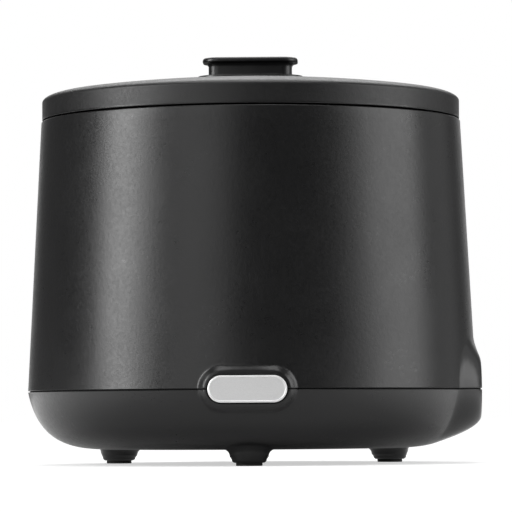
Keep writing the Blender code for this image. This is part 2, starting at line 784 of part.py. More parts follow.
def base_shell():
    """The lower housing, with foot bosses, vents and its half of both pads."""
    look = black_plastic()
    shell = housing_wall("base_shell", lower_stations(), False, look)
    boss_floor, boss_top = BOSS_BOTTOM_Z + BOSS_WALL, FLOOR_Z + BOSS_RADIUS
    for azimuth in FOOT_AZIMUTHS.values():
        join(shell, foot_boss(azimuth))
        at_foot = Matrix.Translation(polar(FOOT_CIRCLE_RADIUS, azimuth))
        hollow = BOSS_END_RADIUS - BOSS_WALL
        cut(shell, round_cutter("boss_hollow", hollow, boss_floor, boss_top, at_foot))
        cut(shell, hole_cutter("stem_hole", STEM_RADIUS + GAP, 0.0, FLOOR_Z, at_foot))
    centre = Matrix.Identity(4)
    cut(shell, hole_cutter("stud_hole", STUD_RADIUS + GAP, BASE_Z - WALL, FLOOR_Z + WALL, centre))
    cut(shell, plate_pocket("lower_plate_pocket"))
    cut(shell, panel_opening("lower_panel_opening"))
    cut(shell, panel_rebate("lower_panel_rebate"))
    for i in range(VENT_COUNT):
        azimuth = 360 * i / VENT_COUNT
        turn = Matrix.Rotation(math.radians(azimuth + 90), 4, "Z")
        place = Matrix.Translation(polar(VENT_CIRCLE_RADIUS, azimuth, BASE_Z)) @ turn
        section = [(VENT_WIDTH / 2, -WALL), (VENT_WIDTH / 2, 2 * WALL)]
        straight = VENT_LENGTH / 2 - VENT_WIDTH / 2
        cut(shell, stadium_solid(f"vent_{i}", straight, section, look, place, 3))
    return shell


def outer_shell():
    """The upper housing, with its rim, the ledge that carries the well, and its half of both pads."""
    look = black_plastic()
    shell = housing_wall("outer_shell", upper_stations(), True, look)
    for azimuth in WELL_SCREW_AZIMUTHS:
        at_screw = Matrix.Translation(polar(WELL_SCREW_CIRCLE_RADIUS, azimuth))
        boss_low = LEDGE_Z - WALL - WELL_BOSS_HEIGHT
        join(shell, round_cutter("well_boss", WELL_BOSS_RADIUS, boss_low, LEDGE_Z - WALL / 2, at_screw))
        hole = WELL_SCREW_RADIUS + SCREW_GAP
        cut(shell, hole_cutter("ledge_hole", hole, boss_low - WALL, LEDGE_Z + WALL, at_screw))
    cut(shell, plate_pocket("upper_plate_pocket"))
    cut(shell, panel_opening("upper_panel_opening"))
    cut(shell, panel_rebate("upper_panel_rebate"))
    seat = gland_seat_y()
    place = facing(90.0, (0.0, 0.0, GLAND_Z))
    cut(shell, round_cutter("gland_spotface", GLAND_FLANGE_RADIUS + GAP, seat, SEAM_RADIUS + WALL, place))
    cut(shell, round_cutter("gland_hole", GLAND_NECK_RADIUS + GAP, seat - 3 * WALL, SEAM_RADIUS, place))
    return shell


def plate_pocket(name):
    """The shallow pocket in the front pad, across the seam."""
    place = facing(FRONT_AZIMUTH, (0.0, 0.0, SEAM_Z))
    radius = PLATE_RADIUS + PLATE_MARGIN
    section = [(radius, PAD_REACH - PLATE_POCKET), (radius, PAD_REACH + WALL)]
    return stadium_solid(name, PLATE_STRAIGHT, section, black_plastic(), place)


def panel_opening(name):
    """The opening in the side pad that the control panel fills."""
    place = facing(SIDE_AZIMUTH, (0.0, 0.0, SEAM_Z))
    radius = PANEL_RADIUS + PANEL_MARGIN
    section = [(radius, PANEL_BACK_X), (radius, PAD_REACH + WALL)]
    return stadium_solid(name, PANEL_STRAIGHT, section, black_plastic(), place)


def panel_rebate(name):
    """The seat inside the side pad for the control panel's flange, which also clears the tongue."""
    place = facing(SIDE_AZIMUTH, (0.0, 0.0, SEAM_Z))
    radius = PANEL_RADIUS + PANEL_FLANGE + PANEL_MARGIN
    section = [(radius, PANEL_BACK_X), (radius, PANEL_SEAT_X)]
    return stadium_solid(name, PANEL_STRAIGHT, section, black_plastic(), place)


def badge_plate():
    """The bare plate, with a bevelled rim round a slightly sunk field."""
    back = PAD_REACH - PLATE_POCKET + GAP
    front = PAD_REACH + PLATE_PROUD
    inner = PLATE_RADIUS - PLATE_BEVEL - PLATE_RIM
    section = [
        (PLATE_RADIUS, back),
        (PLATE_RADIUS, front - PLATE_BEVEL / 2),
        (PLATE_RADIUS - PLATE_BEVEL, front),
        (inner, front),
        (inner - PLATE_FIELD_DEPTH, front - PLATE_FIELD_DEPTH),
    ]
    place = facing(FRONT_AZIMUTH, (0.0, 0.0, SEAM_Z))
    return stadium_solid("badge_plate", PLATE_STRAIGHT, section, aluminium(), place)


def foot_pad(side, azimuth):
    """A rubber foot with a stem that snaps through its boss."""
    barb_z = BOSS_BOTTOM_Z + BOSS_WALL + GAP
    section = [
        (0, 0),
        (PAD_RADIUS - PAD_ROUND, 0),
        (PAD_RADIUS, PAD_ROUND),
        (PAD_RADIUS, PAD_THICKNESS),
        (STEM_RADIUS, PAD_THICKNESS),
        (STEM_RADIUS, barb_z),
        (BARB_RADIUS, barb_z),
        (STEM_RADIUS, barb_z + BARB_HEIGHT),
        (0, barb_z + BARB_HEIGHT),
    ]
    place = Matrix.Translation(polar(FOOT_CIRCLE_RADIUS, azimuth))
    return turned(f"foot_pad_{side}", section, black_rubber(), SMALL_SEGMENTS, place)


def screw(name, shank, head, head_height, seat, tip, look, place):
    """A screw whose head's bearing face is at seat, with its tip on the other side of it."""
    way = 1 if tip > seat else -1
    crown = seat - way * head_height
    section = [(0, tip), (shank, tip - way * shank), (shank, seat), (head, seat)]
    section += [(head, crown + way * head_height * 0.4), (head * 0.7, crown), (0, crown)]
    return turned(name, section, look, SCREW_SEGMENTS, place)


def well_screws():
    for number, azimuth in enumerate(WELL_SCREW_AZIMUTHS, 1):
        place = Matrix.Translation(polar(WELL_SCREW_CIRCLE_RADIUS, azimuth))
        seat = WELL_FLANGE_Z + STEEL + GAP
        screw(
            f"well_screw_{number}",
            WELL_SCREW_RADIUS,
            WELL_SCREW_HEAD_RADIUS,
            WELL_SCREW_HEAD,
            seat,
            seat - WELL_SCREW_LENGTH,
            stainless(),
            place,
        )


def well_holes(target, name):
    for azimuth in WELL_SCREW_AZIMUTHS:
        place = Matrix.Translation(polar(WELL_SCREW_CIRCLE_RADIUS, azimuth))
        hole = WELL_SCREW_RADIUS + SCREW_GAP
        cut(target, hole_cutter(name, hole, LEDGE_Z, POT_BEAD_Z, place))


def well_inner_radius(height):
    share = (height - WELL_FLOOR_Z) / (WELL_FLANGE_Z + STEEL - WELL_FLOOR_Z)
    return WELL_BOTTOM_RADIUS + (WELL_TOP_RADIUS - WELL_BOTTOM_RADIUS) * share


def water_well():
    """The pressed steel well, with a flange that is screwed to the ledge."""
    top = WELL_FLANGE_Z + STEEL
    lip = WELL_LIP_ROUND
    path = [(WELL_FLANGE_RADIUS, top)]
    path += arc(WELL_TOP_RADIUS + lip, top - lip, lip, 90, 180, 2)
    path += arc(WELL_BOTTOM_RADIUS - WELL_CORNER, WELL_FLOOR_Z + WELL_CORNER, WELL_CORNER, 0, -90, 3)
    path.append((0, WELL_FLOOR_Z))
    outside = offset(path, STEEL)[::-1]
    outside[0] = (0, WELL_FLOOR_Z - STEEL)
    well = turned("water_well", path + outside, stainless())
    well_holes(well, "well_hole")
    return well


def well_seal():
    low, high = GASKET_Z, GASKET_Z + GASKET_THICKNESS
    inner, outer = GASKET_INNER_RADIUS, WELL_FLANGE_RADIUS
    section = [(inner, low), (outer, low), (outer, high), (inner, high)]
    seal = turned("well_seal", section, silicone())
    well_holes(seal, "seal_hole")
    return seal


def insulation_band():
    def face(height, depth):
        return (well_inner_radius(height) + STEEL + GAP + depth, height)

    section = [face(BAND_LOW_Z, 0), face(BAND_LOW_Z, BAND_THICKNESS)]
    section += [face(BAND_HIGH_Z, BAND_THICKNESS), face(BAND_HIGH_Z, 0)]
    return turned("insulation_band", section, glass_fibre())


def soup_pot():
    """The lift-out pot, which hangs by the rolled bead of its rim."""
    lip = POT_LIP_ROUND
    top = POT_FLANGE_TOP_Z
    path = [(POT_FLANGE_RADIUS, top)]
    path += arc(POT_TOP_RADIUS + lip, top - lip, lip, 90, 180, 2)
    path += arc(POT_BOTTOM_RADIUS - POT_CORNER, POT_FLOOR_Z + POT_CORNER, POT_CORNER, 0, -90, 3)
    path.append((0, POT_FLOOR_Z))
    outside = offset(path, STEEL)[::-1]
    outside[0] = (0, POT_FLOOR_Z - STEEL)
    bead = arc(POT_FLANGE_RADIUS + POT_BEAD_RADIUS, POT_BEAD_Z, POT_BEAD_RADIUS, -150, 150, 5)
    return turned("soup_pot", path + outside + bead, stainless())


def dome_height(radius):
    """Height of the lid's outer dome at a radius."""
    return DOME_Z - DOME_RISE * (radius / dome_edge()) ** 2


def lid_radius():
    return upper_radius(RIM_Z) - LID_SETBACK


def dome_edge():
    return lid_radius() - SHOULDER_WIDTH * (1 - math.cos(math.radians(SHOULDER_END)))


def shoulder(inset):
    """Points from the dome's edge over the shoulder to the skirt, an inset behind the outer face."""
    middle = lid_radius() - SHOULDER_WIDTH
    base = LID_CORNER_Z - SHOULDER_RISE * math.sin(math.radians(SHOULDER_END))
    across, up = SHOULDER_WIDTH - inset, SHOULDER_RISE - inset
    return [(middle + across * x, base + up * y) for x, y in arc(0.0, 0.0, 1.0, SHOULDER_END, 0, 5)]


def lid_shell():
    """The lid's outer shell: a low skirt, a soft shoulder and a shallow dome, and a rib inside."""
    radius = lid_radius()
    inner = radius - LID_WALL
    steps = 6
    marks = [dome_edge() * i / steps for i in range(steps)]
    outside = [(mark, dome_height(mark)) for mark in marks] + shoulder(0.0)
    outside += [(radius, LID_Z + LID_EDGE_ROUND), (radius - LID_EDGE_ROUND, LID_Z)]
    rib = inner - RIB_DEPTH
    rib_top = RIB_Z + RIB_HEIGHT
    inside = [(inner, LID_Z), (inner, RIB_Z), (rib, RIB_Z), (rib, rib_top), (inner, rib_top)]
    under = [(mark, dome_height(mark) - LID_WALL) for mark in marks] + shoulder(LID_WALL)
    shell = turned("lid_shell", outside + inside + under[::-1], black_plastic(), LID_SEGMENTS)
    for side in (-1, 1):
        place = Matrix.Translation((side * NECK_STRAIGHT, 0.0, 0.0))
        hole = HANDLE_SCREW_RADIUS + SCREW_GAP
        cut(shell, hole_cutter("lid_hole", hole, DOME_Z - LID_SIDE_HEIGHT, DOME_Z + LID_WALL, place))
    return shell


def liner_plug_radius():
    return POT_TOP_RADIUS - LINER_PLUG_GAP


def lid_liner():
    """The lid's inner wall, which lands on the seal and plugs into the pot."""
    outer = lid_radius() - LID_WALL - GAP
    plug = liner_plug_radius()
    bottom = LINER_LAND_Z - LINER_PLUG_DEPTH
    drop = LINER_FLANGE_Z - LINER_LAND_Z
    path = [
        (0, bottom + LINER_CROWN),
        (plug / 2, bottom + LINER_CROWN * 0.7),
        (plug - 2 * LINER_PLUG_ROUND, bottom),
        (plug - LINER_PLUG_ROUND / 2, bottom + LINER_PLUG_ROUND / 3),
        (plug, bottom + LINER_PLUG_ROUND),
        (plug, LINER_LAND_Z),
        (LINER_STEP_RADIUS - drop, LINER_LAND_Z),
        (LINER_STEP_RADIUS, LINER_FLANGE_Z),
        (outer, LINER_FLANGE_Z),
    ]
    inside = offset(path, LINER_WALL)
    inside[0] = (0, inside[0][1])
    return turned("lid_liner", path + inside[::-1], black_plastic(), LID_SEGMENTS)


def lid_seal():
    low, high = SEAL_Z, SEAL_Z + SEAL_THICKNESS
    chamfer = SEAL_THICKNESS / 3
    section = [
        (SEAL_INNER_RADIUS + chamfer, low),
        (SEAL_OUTER_RADIUS - chamfer, low),
        (SEAL_OUTER_RADIUS, low + chamfer),
        (SEAL_OUTER_RADIUS, high),
        (SEAL_INNER_RADIUS, high),
        (SEAL_INNER_RADIUS, low + chamfer),
    ]
    return turned("lid_seal", section, silicone())


def handle_plate():
    """The handle's foot: a stadium whose rim follows the dome, hollow underneath."""
    top = HANDLE_PLATE_TOP_Z
    radius = HANDLE_PLATE_RADIUS
    round_over = HANDLE_PLATE_ROUND
    rim = radius - HANDLE_PLATE_RIM

    def on_dome(ring_radius):
        ring = stadium(HANDLE_PLATE_STRAIGHT, ring_radius, 0.0)
        return [Vector((p.x, p.y, dome_height(math.hypot(p.x, p.y)) + GAP)) for p in ring]

    rings = [stadium(HANDLE_PLATE_STRAIGHT, rim, DOME_Z + 2 * GAP), on_dome(rim), on_dome(radius)]
    for ring_radius, height in arc(radius - round_over, top - round_over, round_over, 0, 90, 3):
        rings.append(stadium(HANDLE_PLATE_STRAIGHT, ring_radius, height))
    plate = lofted("handle_plate", rings, black_plastic())
    handle_holes(plate, "plate_hole", DOME_Z - HANDLE_PLATE_RISE, top + GAP)
    return plate


def handle_holes(target, name, low, high):
    for side in (-1, 1):
        place = Matrix.Translation((side * NECK_STRAIGHT, 0.0, 0.0))
        hole = HANDLE_SCREW_RADIUS + SCREW_GAP
        cut(target, hole_cutter(name, hole, low, high, place))


def lid_handle():
    """The neck, filleted out to a thin overhanging grip with a crowned top."""
    low = HANDLE_PLATE_TOP_Z + GAP
    top = HANDLE_PLATE_TOP_Z + HANDLE_HEIGHT
    under = top - GRIP_THICKNESS
    section = [(NECK_RADIUS, low)]
    section += arc(NECK_RADIUS + NECK_FILLET, under - NECK_FILLET, NECK_FILLET, 180, 90, 3)
    section += arc(GRIP_RADIUS - GRIP_ROUND, under + GRIP_ROUND, GRIP_ROUND, -60, 0, 1)
    section += arc(GRIP_RADIUS - GRIP_ROUND, top - GRIP_CROWN - GRIP_ROUND, GRIP_ROUND, 0, 75, 2)
    section += [(GRIP_RADIUS * 0.6, top - GRIP_CROWN / 4), (GRIP_RADIUS * 0.25, top)]
    handle = stadium_solid("lid_handle", NECK_STRAIGHT, section, black_plastic())
    handle_holes(handle, "handle_hole", low - GAP, handle_screw_tip() + 2 * GAP)
    return handle


def handle_screw_tip():
    return HANDLE_PLATE_TOP_Z + GAP + HANDLE_SCREW_BITE


def handle_screws():
    """Pan-head screws from inside the lid, through the shell and the plate into the neck."""
    seat = dome_height(NECK_STRAIGHT + HANDLE_SCREW_HEAD_RADIUS) - LID_WALL - GAP
    for side, x in (("left", -NECK_STRAIGHT), ("right", NECK_STRAIGHT)):
        screw(
            f"handle_screw_{side}",
            HANDLE_SCREW_RADIUS,
            HANDLE_SCREW_HEAD_RADIUS,
            HANDLE_SCREW_HEAD,
            seat,
            handle_screw_tip(),
            stainless(),
            Matrix.Translation((x, 0.0, 0.0)),
        )


def heat_plate():
    """The aluminium disc that spreads the ring's heat, sunk in the middle for the stud's head."""
    low, high = HEAT_PLATE_Z, HEAT_PLATE_TOP_Z
    sunk = high - STUD_HEAD - GAP
    hole = STUD_RADIUS + GAP
    pocket = STUD_HEAD_RADIUS + GAP
    section = [(hole, low), (HEAT_PLATE_RADIUS, low), (HEAT_PLATE_RADIUS, high)]
    section += [(pocket, high), (pocket, sunk), (hole, sunk)]
    return turned("heat_plate", section, aluminium(), HEATER_SEGMENTS)


def ring_path():
    """The heating ring's centre line: down from one end, round the circle and down at the other end."""
    turn = math.degrees(RING_BEND / RING_CIRCLE_RADIUS)
    start = RING_OPENING / 2
    tail = [polar(RING_CIRCLE_RADIUS, start, RING_Z - RING_TAIL)]
    for i in range(3):
        angle = math.radians(45 * i)
        advance = turn * (1 - math.cos(angle))
        drop = RING_BEND * (1 - math.sin(angle))
        tail.append(polar(RING_CIRCLE_RADIUS, start + advance, RING_Z - drop))
    points = list(tail)
    steps = 24
    span = 360 - 2 * (start + turn)
    points += [polar(RING_CIRCLE_RADIUS, start + turn + span * i / steps, RING_Z) for i in range(1, steps)]
    points += [Vector((point.x, -point.y, point.z)) for point in reversed(tail)]
    return points


def tube(name, points, radius, look, resolution=2):
    """A solid round tube along points, with closed ends."""
    curve = bpy.data.curves.new(name, "CURVE")
    curve.dimensions = "3D"
    curve.bevel_depth = radius
    curve.bevel_resolution = resolution
    curve.use_fill_caps = True
    spline = curve.splines.new("POLY")
    spline.points.add(len(points) - 1)
    for slot, point in zip(spline.points, points):
        slot.co = (*point, 1.0)
    curve.materials.append(look)
    made = bpy.data.objects.new(name, curve)
    bpy.context.scene.collection.objects.link(made)
    return made


def heating_ring():
    return tube("heating_ring", ring_path(), RING_TUBE_RADIUS, stainless())


def heat_reflector():
    """A shallow steel dish below the ring, pierced for the ring's ends."""
    low, high = REFLECTOR_Z, REFLECTOR_TOP_Z
    hole = STUD_RADIUS + GAP
    lip = high + REFLECTOR_LIP
    section = [
        (hole, low),
        (REFLECTOR_RADIUS - REFLECTOR_LIP / 2, low),
        (REFLECTOR_RADIUS, lip),
        (REFLECTOR_RADIUS - REFLECTOR_WALL, lip),
        (REFLECTOR_RADIUS - REFLECTOR_LIP / 2 - REFLECTOR_WALL, high),
        (hole, high),
    ]
    dish = turned("heat_reflector", section, stainless(), HEATER_SEGMENTS)
    for side in (-1, 1):
        advance = math.degrees(RING_BEND / 4 / RING_CIRCLE_RADIUS)
        place = Matrix.Translation(polar(RING_CIRCLE_RADIUS, side * (RING_OPENING / 2 + advance)))
        clear = RING_TUBE_RADIUS + RING_BEND / 2 + GAP
        cut(dish, round_cutter("ring_hole", clear, low - STEEL, high + STEEL, place))
    return dish


def clamp_stud():
    """The stud from the well down through the base: it holds up the heater and clamps the housings."""
    top = HEAT_PLATE_TOP_Z
    end = BASE_NUT_TOP_Z - NUT_HEIGHT - STUD_END
    section = [(0, end), (STUD_RADIUS, end), (STUD_RADIUS, top - STUD_HEAD)]
    section += [(STUD_HEAD_RADIUS, top - STUD_HEAD), (STUD_HEAD_RADIUS, top), (0, top)]
    return turned("clamp_stud", section, zinc(), SMALL_SEGMENTS)


def nut(name, across, bore, low, high, look, matrix=None):
    """A hexagonal nut with a round bore."""
    ring = [polar(across, 60 * i) for i in range(6)]
    rings = [[(point.x, point.y, height) for point in ring] for height in (low, high)]
    body = lofted(name, rings, look, matrix)
    cut(body, rod(f"{name}_bore", bore, low - STEEL, high + STEEL, look, SMALL_SEGMENTS, matrix))
    return body


def clamp_nut():
    return nut("clamp_nut", NUT_RADIUS, STUD_RADIUS + GAP, NUT_TOP_Z - NUT_HEIGHT, NUT_TOP_Z, zinc())


def base_washer():
    low, high = WASHER_TOP_Z - WASHER_THICKNESS, WASHER_TOP_Z
    hole = STUD_RADIUS + GAP
    section = [(hole, low), (WASHER_RADIUS, low), (WASHER_RADIUS, high), (hole, high)]
    return turned("base_washer", section, zinc(), SMALL_SEGMENTS)


def base_nut():
    low = BASE_NUT_TOP_Z - NUT_HEIGHT
    return nut("base_nut", NUT_RADIUS, STUD_RADIUS + GAP, low, BASE_NUT_TOP_Z, zinc())


def thermal_cutout():
    """The dry-boil cut-out: a disc thermostat with a narrower terminal block under it."""
    top = REFLECTOR_Z - GAP
    low = top - CUTOUT_HEIGHT
    section = [(0, low), (CUTOUT_RADIUS * 0.6, low), (CUTOUT_RADIUS * 0.6, low + CUTOUT_HEIGHT / 2)]
    section += [(CUTOUT_RADIUS, low + CUTOUT_HEIGHT / 2), (CUTOUT_RADIUS, top), (0, top)]
    place = Matrix.Translation(polar(CUTOUT_OFFSET, CUTOUT_AZIMUTH))
    return turned("thermal_cutout", section, pale_nylon(), SMALL_SEGMENTS, place)


def panel_place():
    return facing(SIDE_AZIMUTH, (0.0, 0.0, SEAM_Z))


def control_panel():
    """A dish that fills the side pad's opening, with a flange behind the housing's wall."""
    outer = PANEL_RADIUS
    flange = outer + PANEL_FLANGE
    flange_front = PANEL_SEAT_X - GAP
    inner = outer - PANEL_WALL
    section = [
        (outer - PANEL_DRAFT, PANEL_BACK_X),
        (outer - PANEL_DRAFT / 2, flange_front - PANEL_FLANGE_WALL),
        (flange, flange_front - PANEL_FLANGE_WALL),
        (flange, flange_front),
        (outer, flange_front),
        (outer, PANEL_FRONT_X - PANEL_CHAMFER),
        (outer - PANEL_CHAMFER, PANEL_FRONT_X),
        (inner + PANEL_CHAMFER, PANEL_FRONT_X),
        (inner, PANEL_FRONT_X - PANEL_CHAMFER),
        (inner - PANEL_DRAFT, PANEL_FLOOR_X + PANEL_DRAFT),
        (inner - 2 * PANEL_DRAFT, PANEL_FLOOR_X),
    ]
    look = black_plastic()
    place = panel_place()
    panel = stadium_solid("control_panel", PANEL_STRAIGHT, section, look, place)
    low, high = PANEL_BACK_X - WALL, PANEL_FLOOR_X + WALL
    cut(panel, rod("bush_hole", BUSH_RADIUS + GAP, low, high, look, SMALL_SEGMENTS, place))
    cut(panel, rod("lamp_hole", LAMP_RADIUS + GAP, low, high, look, SMALL_SEGMENTS, lamp_place()))
    return panel


def lamp_place():
    return facing(SIDE_AZIMUTH, (0.0, -LAMP_OFFSET, SEAM_Z))


def lamp_lens():
    """A domed lens with a stem through the panel."""
    cap = PANEL_FLOOR_X + GAP
    crown = cap + LAMP_CAP_HEIGHT
    tail = cap - LAMP_TAIL
    brow, cheek = LAMP_CAP_HEIGHT * 0.85, LAMP_CAP_HEIGHT * 0.4
    section = [(0, tail), (LAMP_RADIUS, tail), (LAMP_RADIUS, cap), (LAMP_CAP_RADIUS, cap)]
    section += [(LAMP_CAP_RADIUS, cap + cheek), (LAMP_CAP_RADIUS * 0.7, cap + brow), (0, crown)]
    return turned("lamp_lens", section, lamp_red(), SMALL_SEGMENTS, lamp_place())


def lamp_holder():
    """A cup pushed over the lens's stem behind the panel."""
    front = PANEL_BACK_X - GAP
    back = front - LAMP_HOLDER_LENGTH
    bore = LAMP_RADIUS + GAP
    outer = bore + LAMP_HOLDER_WALL
    floor = back + LAMP_HOLDER_WALL
    section = [(0, back), (outer, back), (outer, front), (bore, front), (bore, floor), (0, floor)]
    return turned("lamp_holder", section, pale_nylon(), SMALL_SEGMENTS, lamp_place())


def knob():
    """The control knob: a low skirt with a grip bar, hollow behind for the bush's nut."""
    look = black_plastic()
    hollow = KNOB_HOLLOW_RADIUS
    bore = SPINDLE_RADIUS + GAP
    section = [
        (hollow, 0),
        (KNOB_RADIUS, 0),
        (KNOB_RADIUS, KNOB_SKIRT - KNOB_ROUND),
        (KNOB_RADIUS - KNOB_ROUND, KNOB_SKIRT),
        (0, KNOB_SKIRT + KNOB_ROUND),
        (0, KNOB_HOLLOW_DEPTH),
        (hollow, KNOB_HOLLOW_DEPTH),
    ]
    place = facing(SIDE_AZIMUTH, (KNOB_X, 0.0, SEAM_Z))
    body = turned("knob", section, look, 24, place)
    bar = [
        (KNOB_BAR_RADIUS + KNOB_ROUND, KNOB_HOLLOW_DEPTH + KNOB_ROUND),
        (KNOB_BAR_RADIUS, KNOB_SKIRT + KNOB_ROUND),
        (KNOB_BAR_RADIUS - KNOB_ROUND / 2, KNOB_HEIGHT - KNOB_ROUND),
        (KNOB_BAR_RADIUS - 1.5 * KNOB_ROUND, KNOB_HEIGHT),
    ]
    upright = place @ Matrix.Rotation(math.radians(90), 4, "Z")
    join(body, stadium_solid("knob_bar", KNOB_BAR_STRAIGHT, bar, look, upright, 5))
    cut(body, rod("knob_bore", bore, -KNOB_LIFT, KNOB_LIFT + KNOB_BORE_DEPTH, look, SMALL_SEGMENTS, place))
    cut(body, pointer_block("pointer_slot", GAP, look))
    return body


def pointer_block(name, margin, look):
    """The pointer's bar in the top of the knob's grip, or its slot where a margin is given."""
    place = facing(SIDE_AZIMUTH, (KNOB_X, 0.0, SEAM_Z))
    outer = KNOB_BAR_STRAIGHT + KNOB_BAR_RADIUS / 3
    half = POINTER_WIDTH / 2 + margin
    low = (-half, outer - POINTER_LENGTH - margin, KNOB_HEIGHT - POINTER_DEPTH - margin)
    high = (half, outer + margin, KNOB_HEIGHT + margin)
    return block(name, low, high, look, place)


def knob_pointer():
    return pointer_block("knob_pointer", 0.0, pointer_white())


def thermostat_spindle():
    low, high = -SPINDLE_DEPTH, SPINDLE_REACH
    section = [(0, low), (SPINDLE_RADIUS, low), (SPINDLE_RADIUS, high), (0, high)]
    place = facing(SIDE_AZIMUTH, (KNOB_X, 0.0, SEAM_Z))
    return turned("thermostat_spindle", section, zinc(), SMALL_SEGMENTS, place)


def thermostat_body():
    """The thermostat's case behind the panel, with a threaded bush through it."""
    look = pale_nylon()
    half_width, half_height = THERMOSTAT_WIDTH / 2, THERMOSTAT_HEIGHT / 2
    front, back = THERMOSTAT_X, THERMOSTAT_X - THERMOSTAT_DEPTH
    corner = THERMOSTAT_ROUND
    ring = []
    for x_side, y_side, start in ((1, 1, 0), (-1, 1, 90), (-1, -1, 180), (1, -1, 270)):
        centre = (x_side * (half_width - corner), y_side * (half_height - corner))
        ring += arc(*centre, corner, start, start + 90, 2)
    rings = [[(x, y, height) for x, y in ring] for height in (back, front)]
    body = lofted("thermostat_body", rings, look, panel_place())
    bush_end = PANEL_FLOOR_X + GAP + BUSH_NUT_HEIGHT
    join(body, rod("bush", BUSH_RADIUS, front - corner, bush_end, look, SMALL_SEGMENTS, panel_place()))
    bore_low = KNOB_X - SPINDLE_DEPTH - 2 * GAP
    bore = SPINDLE_RADIUS + SHAFT_GAP
    cut(body, rod("spindle_bore", bore, bore_low, bush_end + corner, look, SMALL_SEGMENTS, panel_place()))
    return body


def thermostat_nut():
    low = PANEL_FLOOR_X + GAP
    high = low + BUSH_NUT_HEIGHT
    bore = BUSH_RADIUS + GAP
    return nut("thermostat_nut", BUSH_NUT_RADIUS, bore, low, high, zinc(), panel_place())


def bulb_place():
    """A frame on the well's outside, with X round it, Y up and Z outwards."""
    radius = well_inner_radius(BULB_Z) + STEEL
    return facing(BULB_AZIMUTH, polar(radius, BULB_AZIMUTH, BULB_Z))


def sensor_bulb():
    """The capillary's bulb, which lies across the well's side."""
    half = BULB_LENGTH / 2
    taper = BULB_RADIUS
    section = [(0, -half), (BULB_RADIUS * 0.6, -half), (BULB_RADIUS, taper - half)]
    section += [(BULB_RADIUS, half - taper), (CAPILLARY_RADIUS * 1.4, half), (0, half)]
    lie = Matrix.Translation((0.0, 0.0, GAP + BULB_RADIUS)) @ Matrix.Rotation(math.radians(90), 4, "Y")
    return turned("sensor_bulb", section, brass(), SMALL_SEGMENTS, bulb_place() @ lie)


def bulb_clip():
    """A bent strip that holds the bulb against the well."""
    inner = BULB_RADIUS + GAP
    foot = inner + CLIP_WALL + CLIP_FOOT
    low = GAP + sag(CLIP_WIDTH / 2)
    path = [(foot, low), (inner, low)]
    path += arc(0.0, GAP + BULB_RADIUS, inner, 0, 180, 6)
    path += [(-inner, low), (-foot, low)]
    strip = sheet_section(path, -CLIP_WALL)
    rings = [[(x, height, depth) for height, depth in strip] for x in (-CLIP_WIDTH / 2, CLIP_WIDTH / 2)]
    return lofted("bulb_clip", rings, zinc(), bulb_place())


def sag(half_width):
    """How far the well's round side falls back from a flat strip of a half width."""
    radius = well_inner_radius(BULB_Z) + STEEL
    return radius - math.sqrt(radius * radius - half_width * half_width)


def smooth_path(knots, steps):
    """A Catmull-Rom curve through knots."""
    ends = [2 * knots[0] - knots[1], *knots, 2 * knots[-1] - knots[-2]]
    points = []
    for a, b, c, d in zip(ends, ends[1:], ends[2:], ends[3:]):
        for i in range(steps):
            t = i / steps
            square = 2 * a - 5 * b + 4 * c - d
            cube = 3 * b - a - 3 * c + d
            points.append(0.5 * (2 * b + (c - a) * t + square * t**2 + cube * t**3))
    points.append(knots[-1])
    return points


def capillary_tube():
    """The fine tube from the bulb's end to the top of the thermostat."""
    start = bulb_place() @ Vector((BULB_LENGTH / 2 + GAP, 0.0, GAP + BULB_RADIUS))
    along = (bulb_place().to_3x3() @ Vector((1.0, 0.0, 0.0))).normalized()
    top = Vector((THERMOSTAT_X - THERMOSTAT_DEPTH / 2, 0.0, SEAM_Z + THERMOSTAT_HEIGHT / 2 + GAP))
    lift = 3 * BULB_RADIUS
    knots = [start, start + along * lift, top + Vector((0.0, 0.0, 1.4 * lift)), top]
    return tube("capillary_tube", smooth_path(knots, 5), CAPILLARY_RADIUS, brass(), 1)


def terminal_block():
    """A three-way block on the base's floor, with an open screw well over each way."""
    look = pale_nylon()
    low = FLOOR_Z + GAP
    high = low + BLOCK_HEIGHT
    half_length, half_width = BLOCK_LENGTH / 2, BLOCK_WIDTH / 2
    step = BLOCK_HEIGHT / 3
    profile = [
        (-half_width, low),
        (half_width, low),
        (half_width, low + step),
        (half_width - step, low + step),
        (half_width - step, high),
        (step - half_width, high),
        (step - half_width, low + step),
        (-half_width, low + step),
    ]
    rings = [[(x, BLOCK_Y + y, z) for y, z in profile] for x in (-half_length, half_length)]
    body = lofted("terminal_block", rings, look)
    pitch = BLOCK_LENGTH / BLOCK_WAYS
    for way in range(BLOCK_WAYS):
        x = (way + 0.5) * pitch - half_length
        place = Matrix.Translation((x, BLOCK_Y, 0.0))
        cut(body, rod(f"way_{way}", BLOCK_SCREW_RADIUS, low + step, high + step, look, 10, place))
    return body


def gland_seat_y():
    """Distance from the axis to the flat that the gland's flange sits on."""
    low = GLAND_Z + GLAND_FLANGE_RADIUS
    chord = math.sqrt(upper_radius(low) ** 2 - GLAND_FLANGE_RADIUS**2)
    return chord - GLAND_SPOTFACE


def cord_gland():
    """The bush through the back of the housing that a mains cord passes."""
    seat = gland_seat_y() + GAP
    bore, neck, flange = GLAND_BORE_RADIUS, GLAND_NECK_RADIUS, GLAND_FLANGE_RADIUS
    front = seat + GLAND_FLANGE
    back = front - GLAND_LENGTH
    bevel = GLAND_FLANGE / 3
    place = facing(90.0, (0.0, 0.0, GLAND_Z))
    section = [(bore, back), (neck, back), (neck, seat), (flange, seat), (flange, front - bevel)]
    section += [(flange - bevel, front), (bore + bevel, front), (bore, front - bevel)]
    return turned("cord_gland", section, black_rubber(), SMALL_SEGMENTS, place)


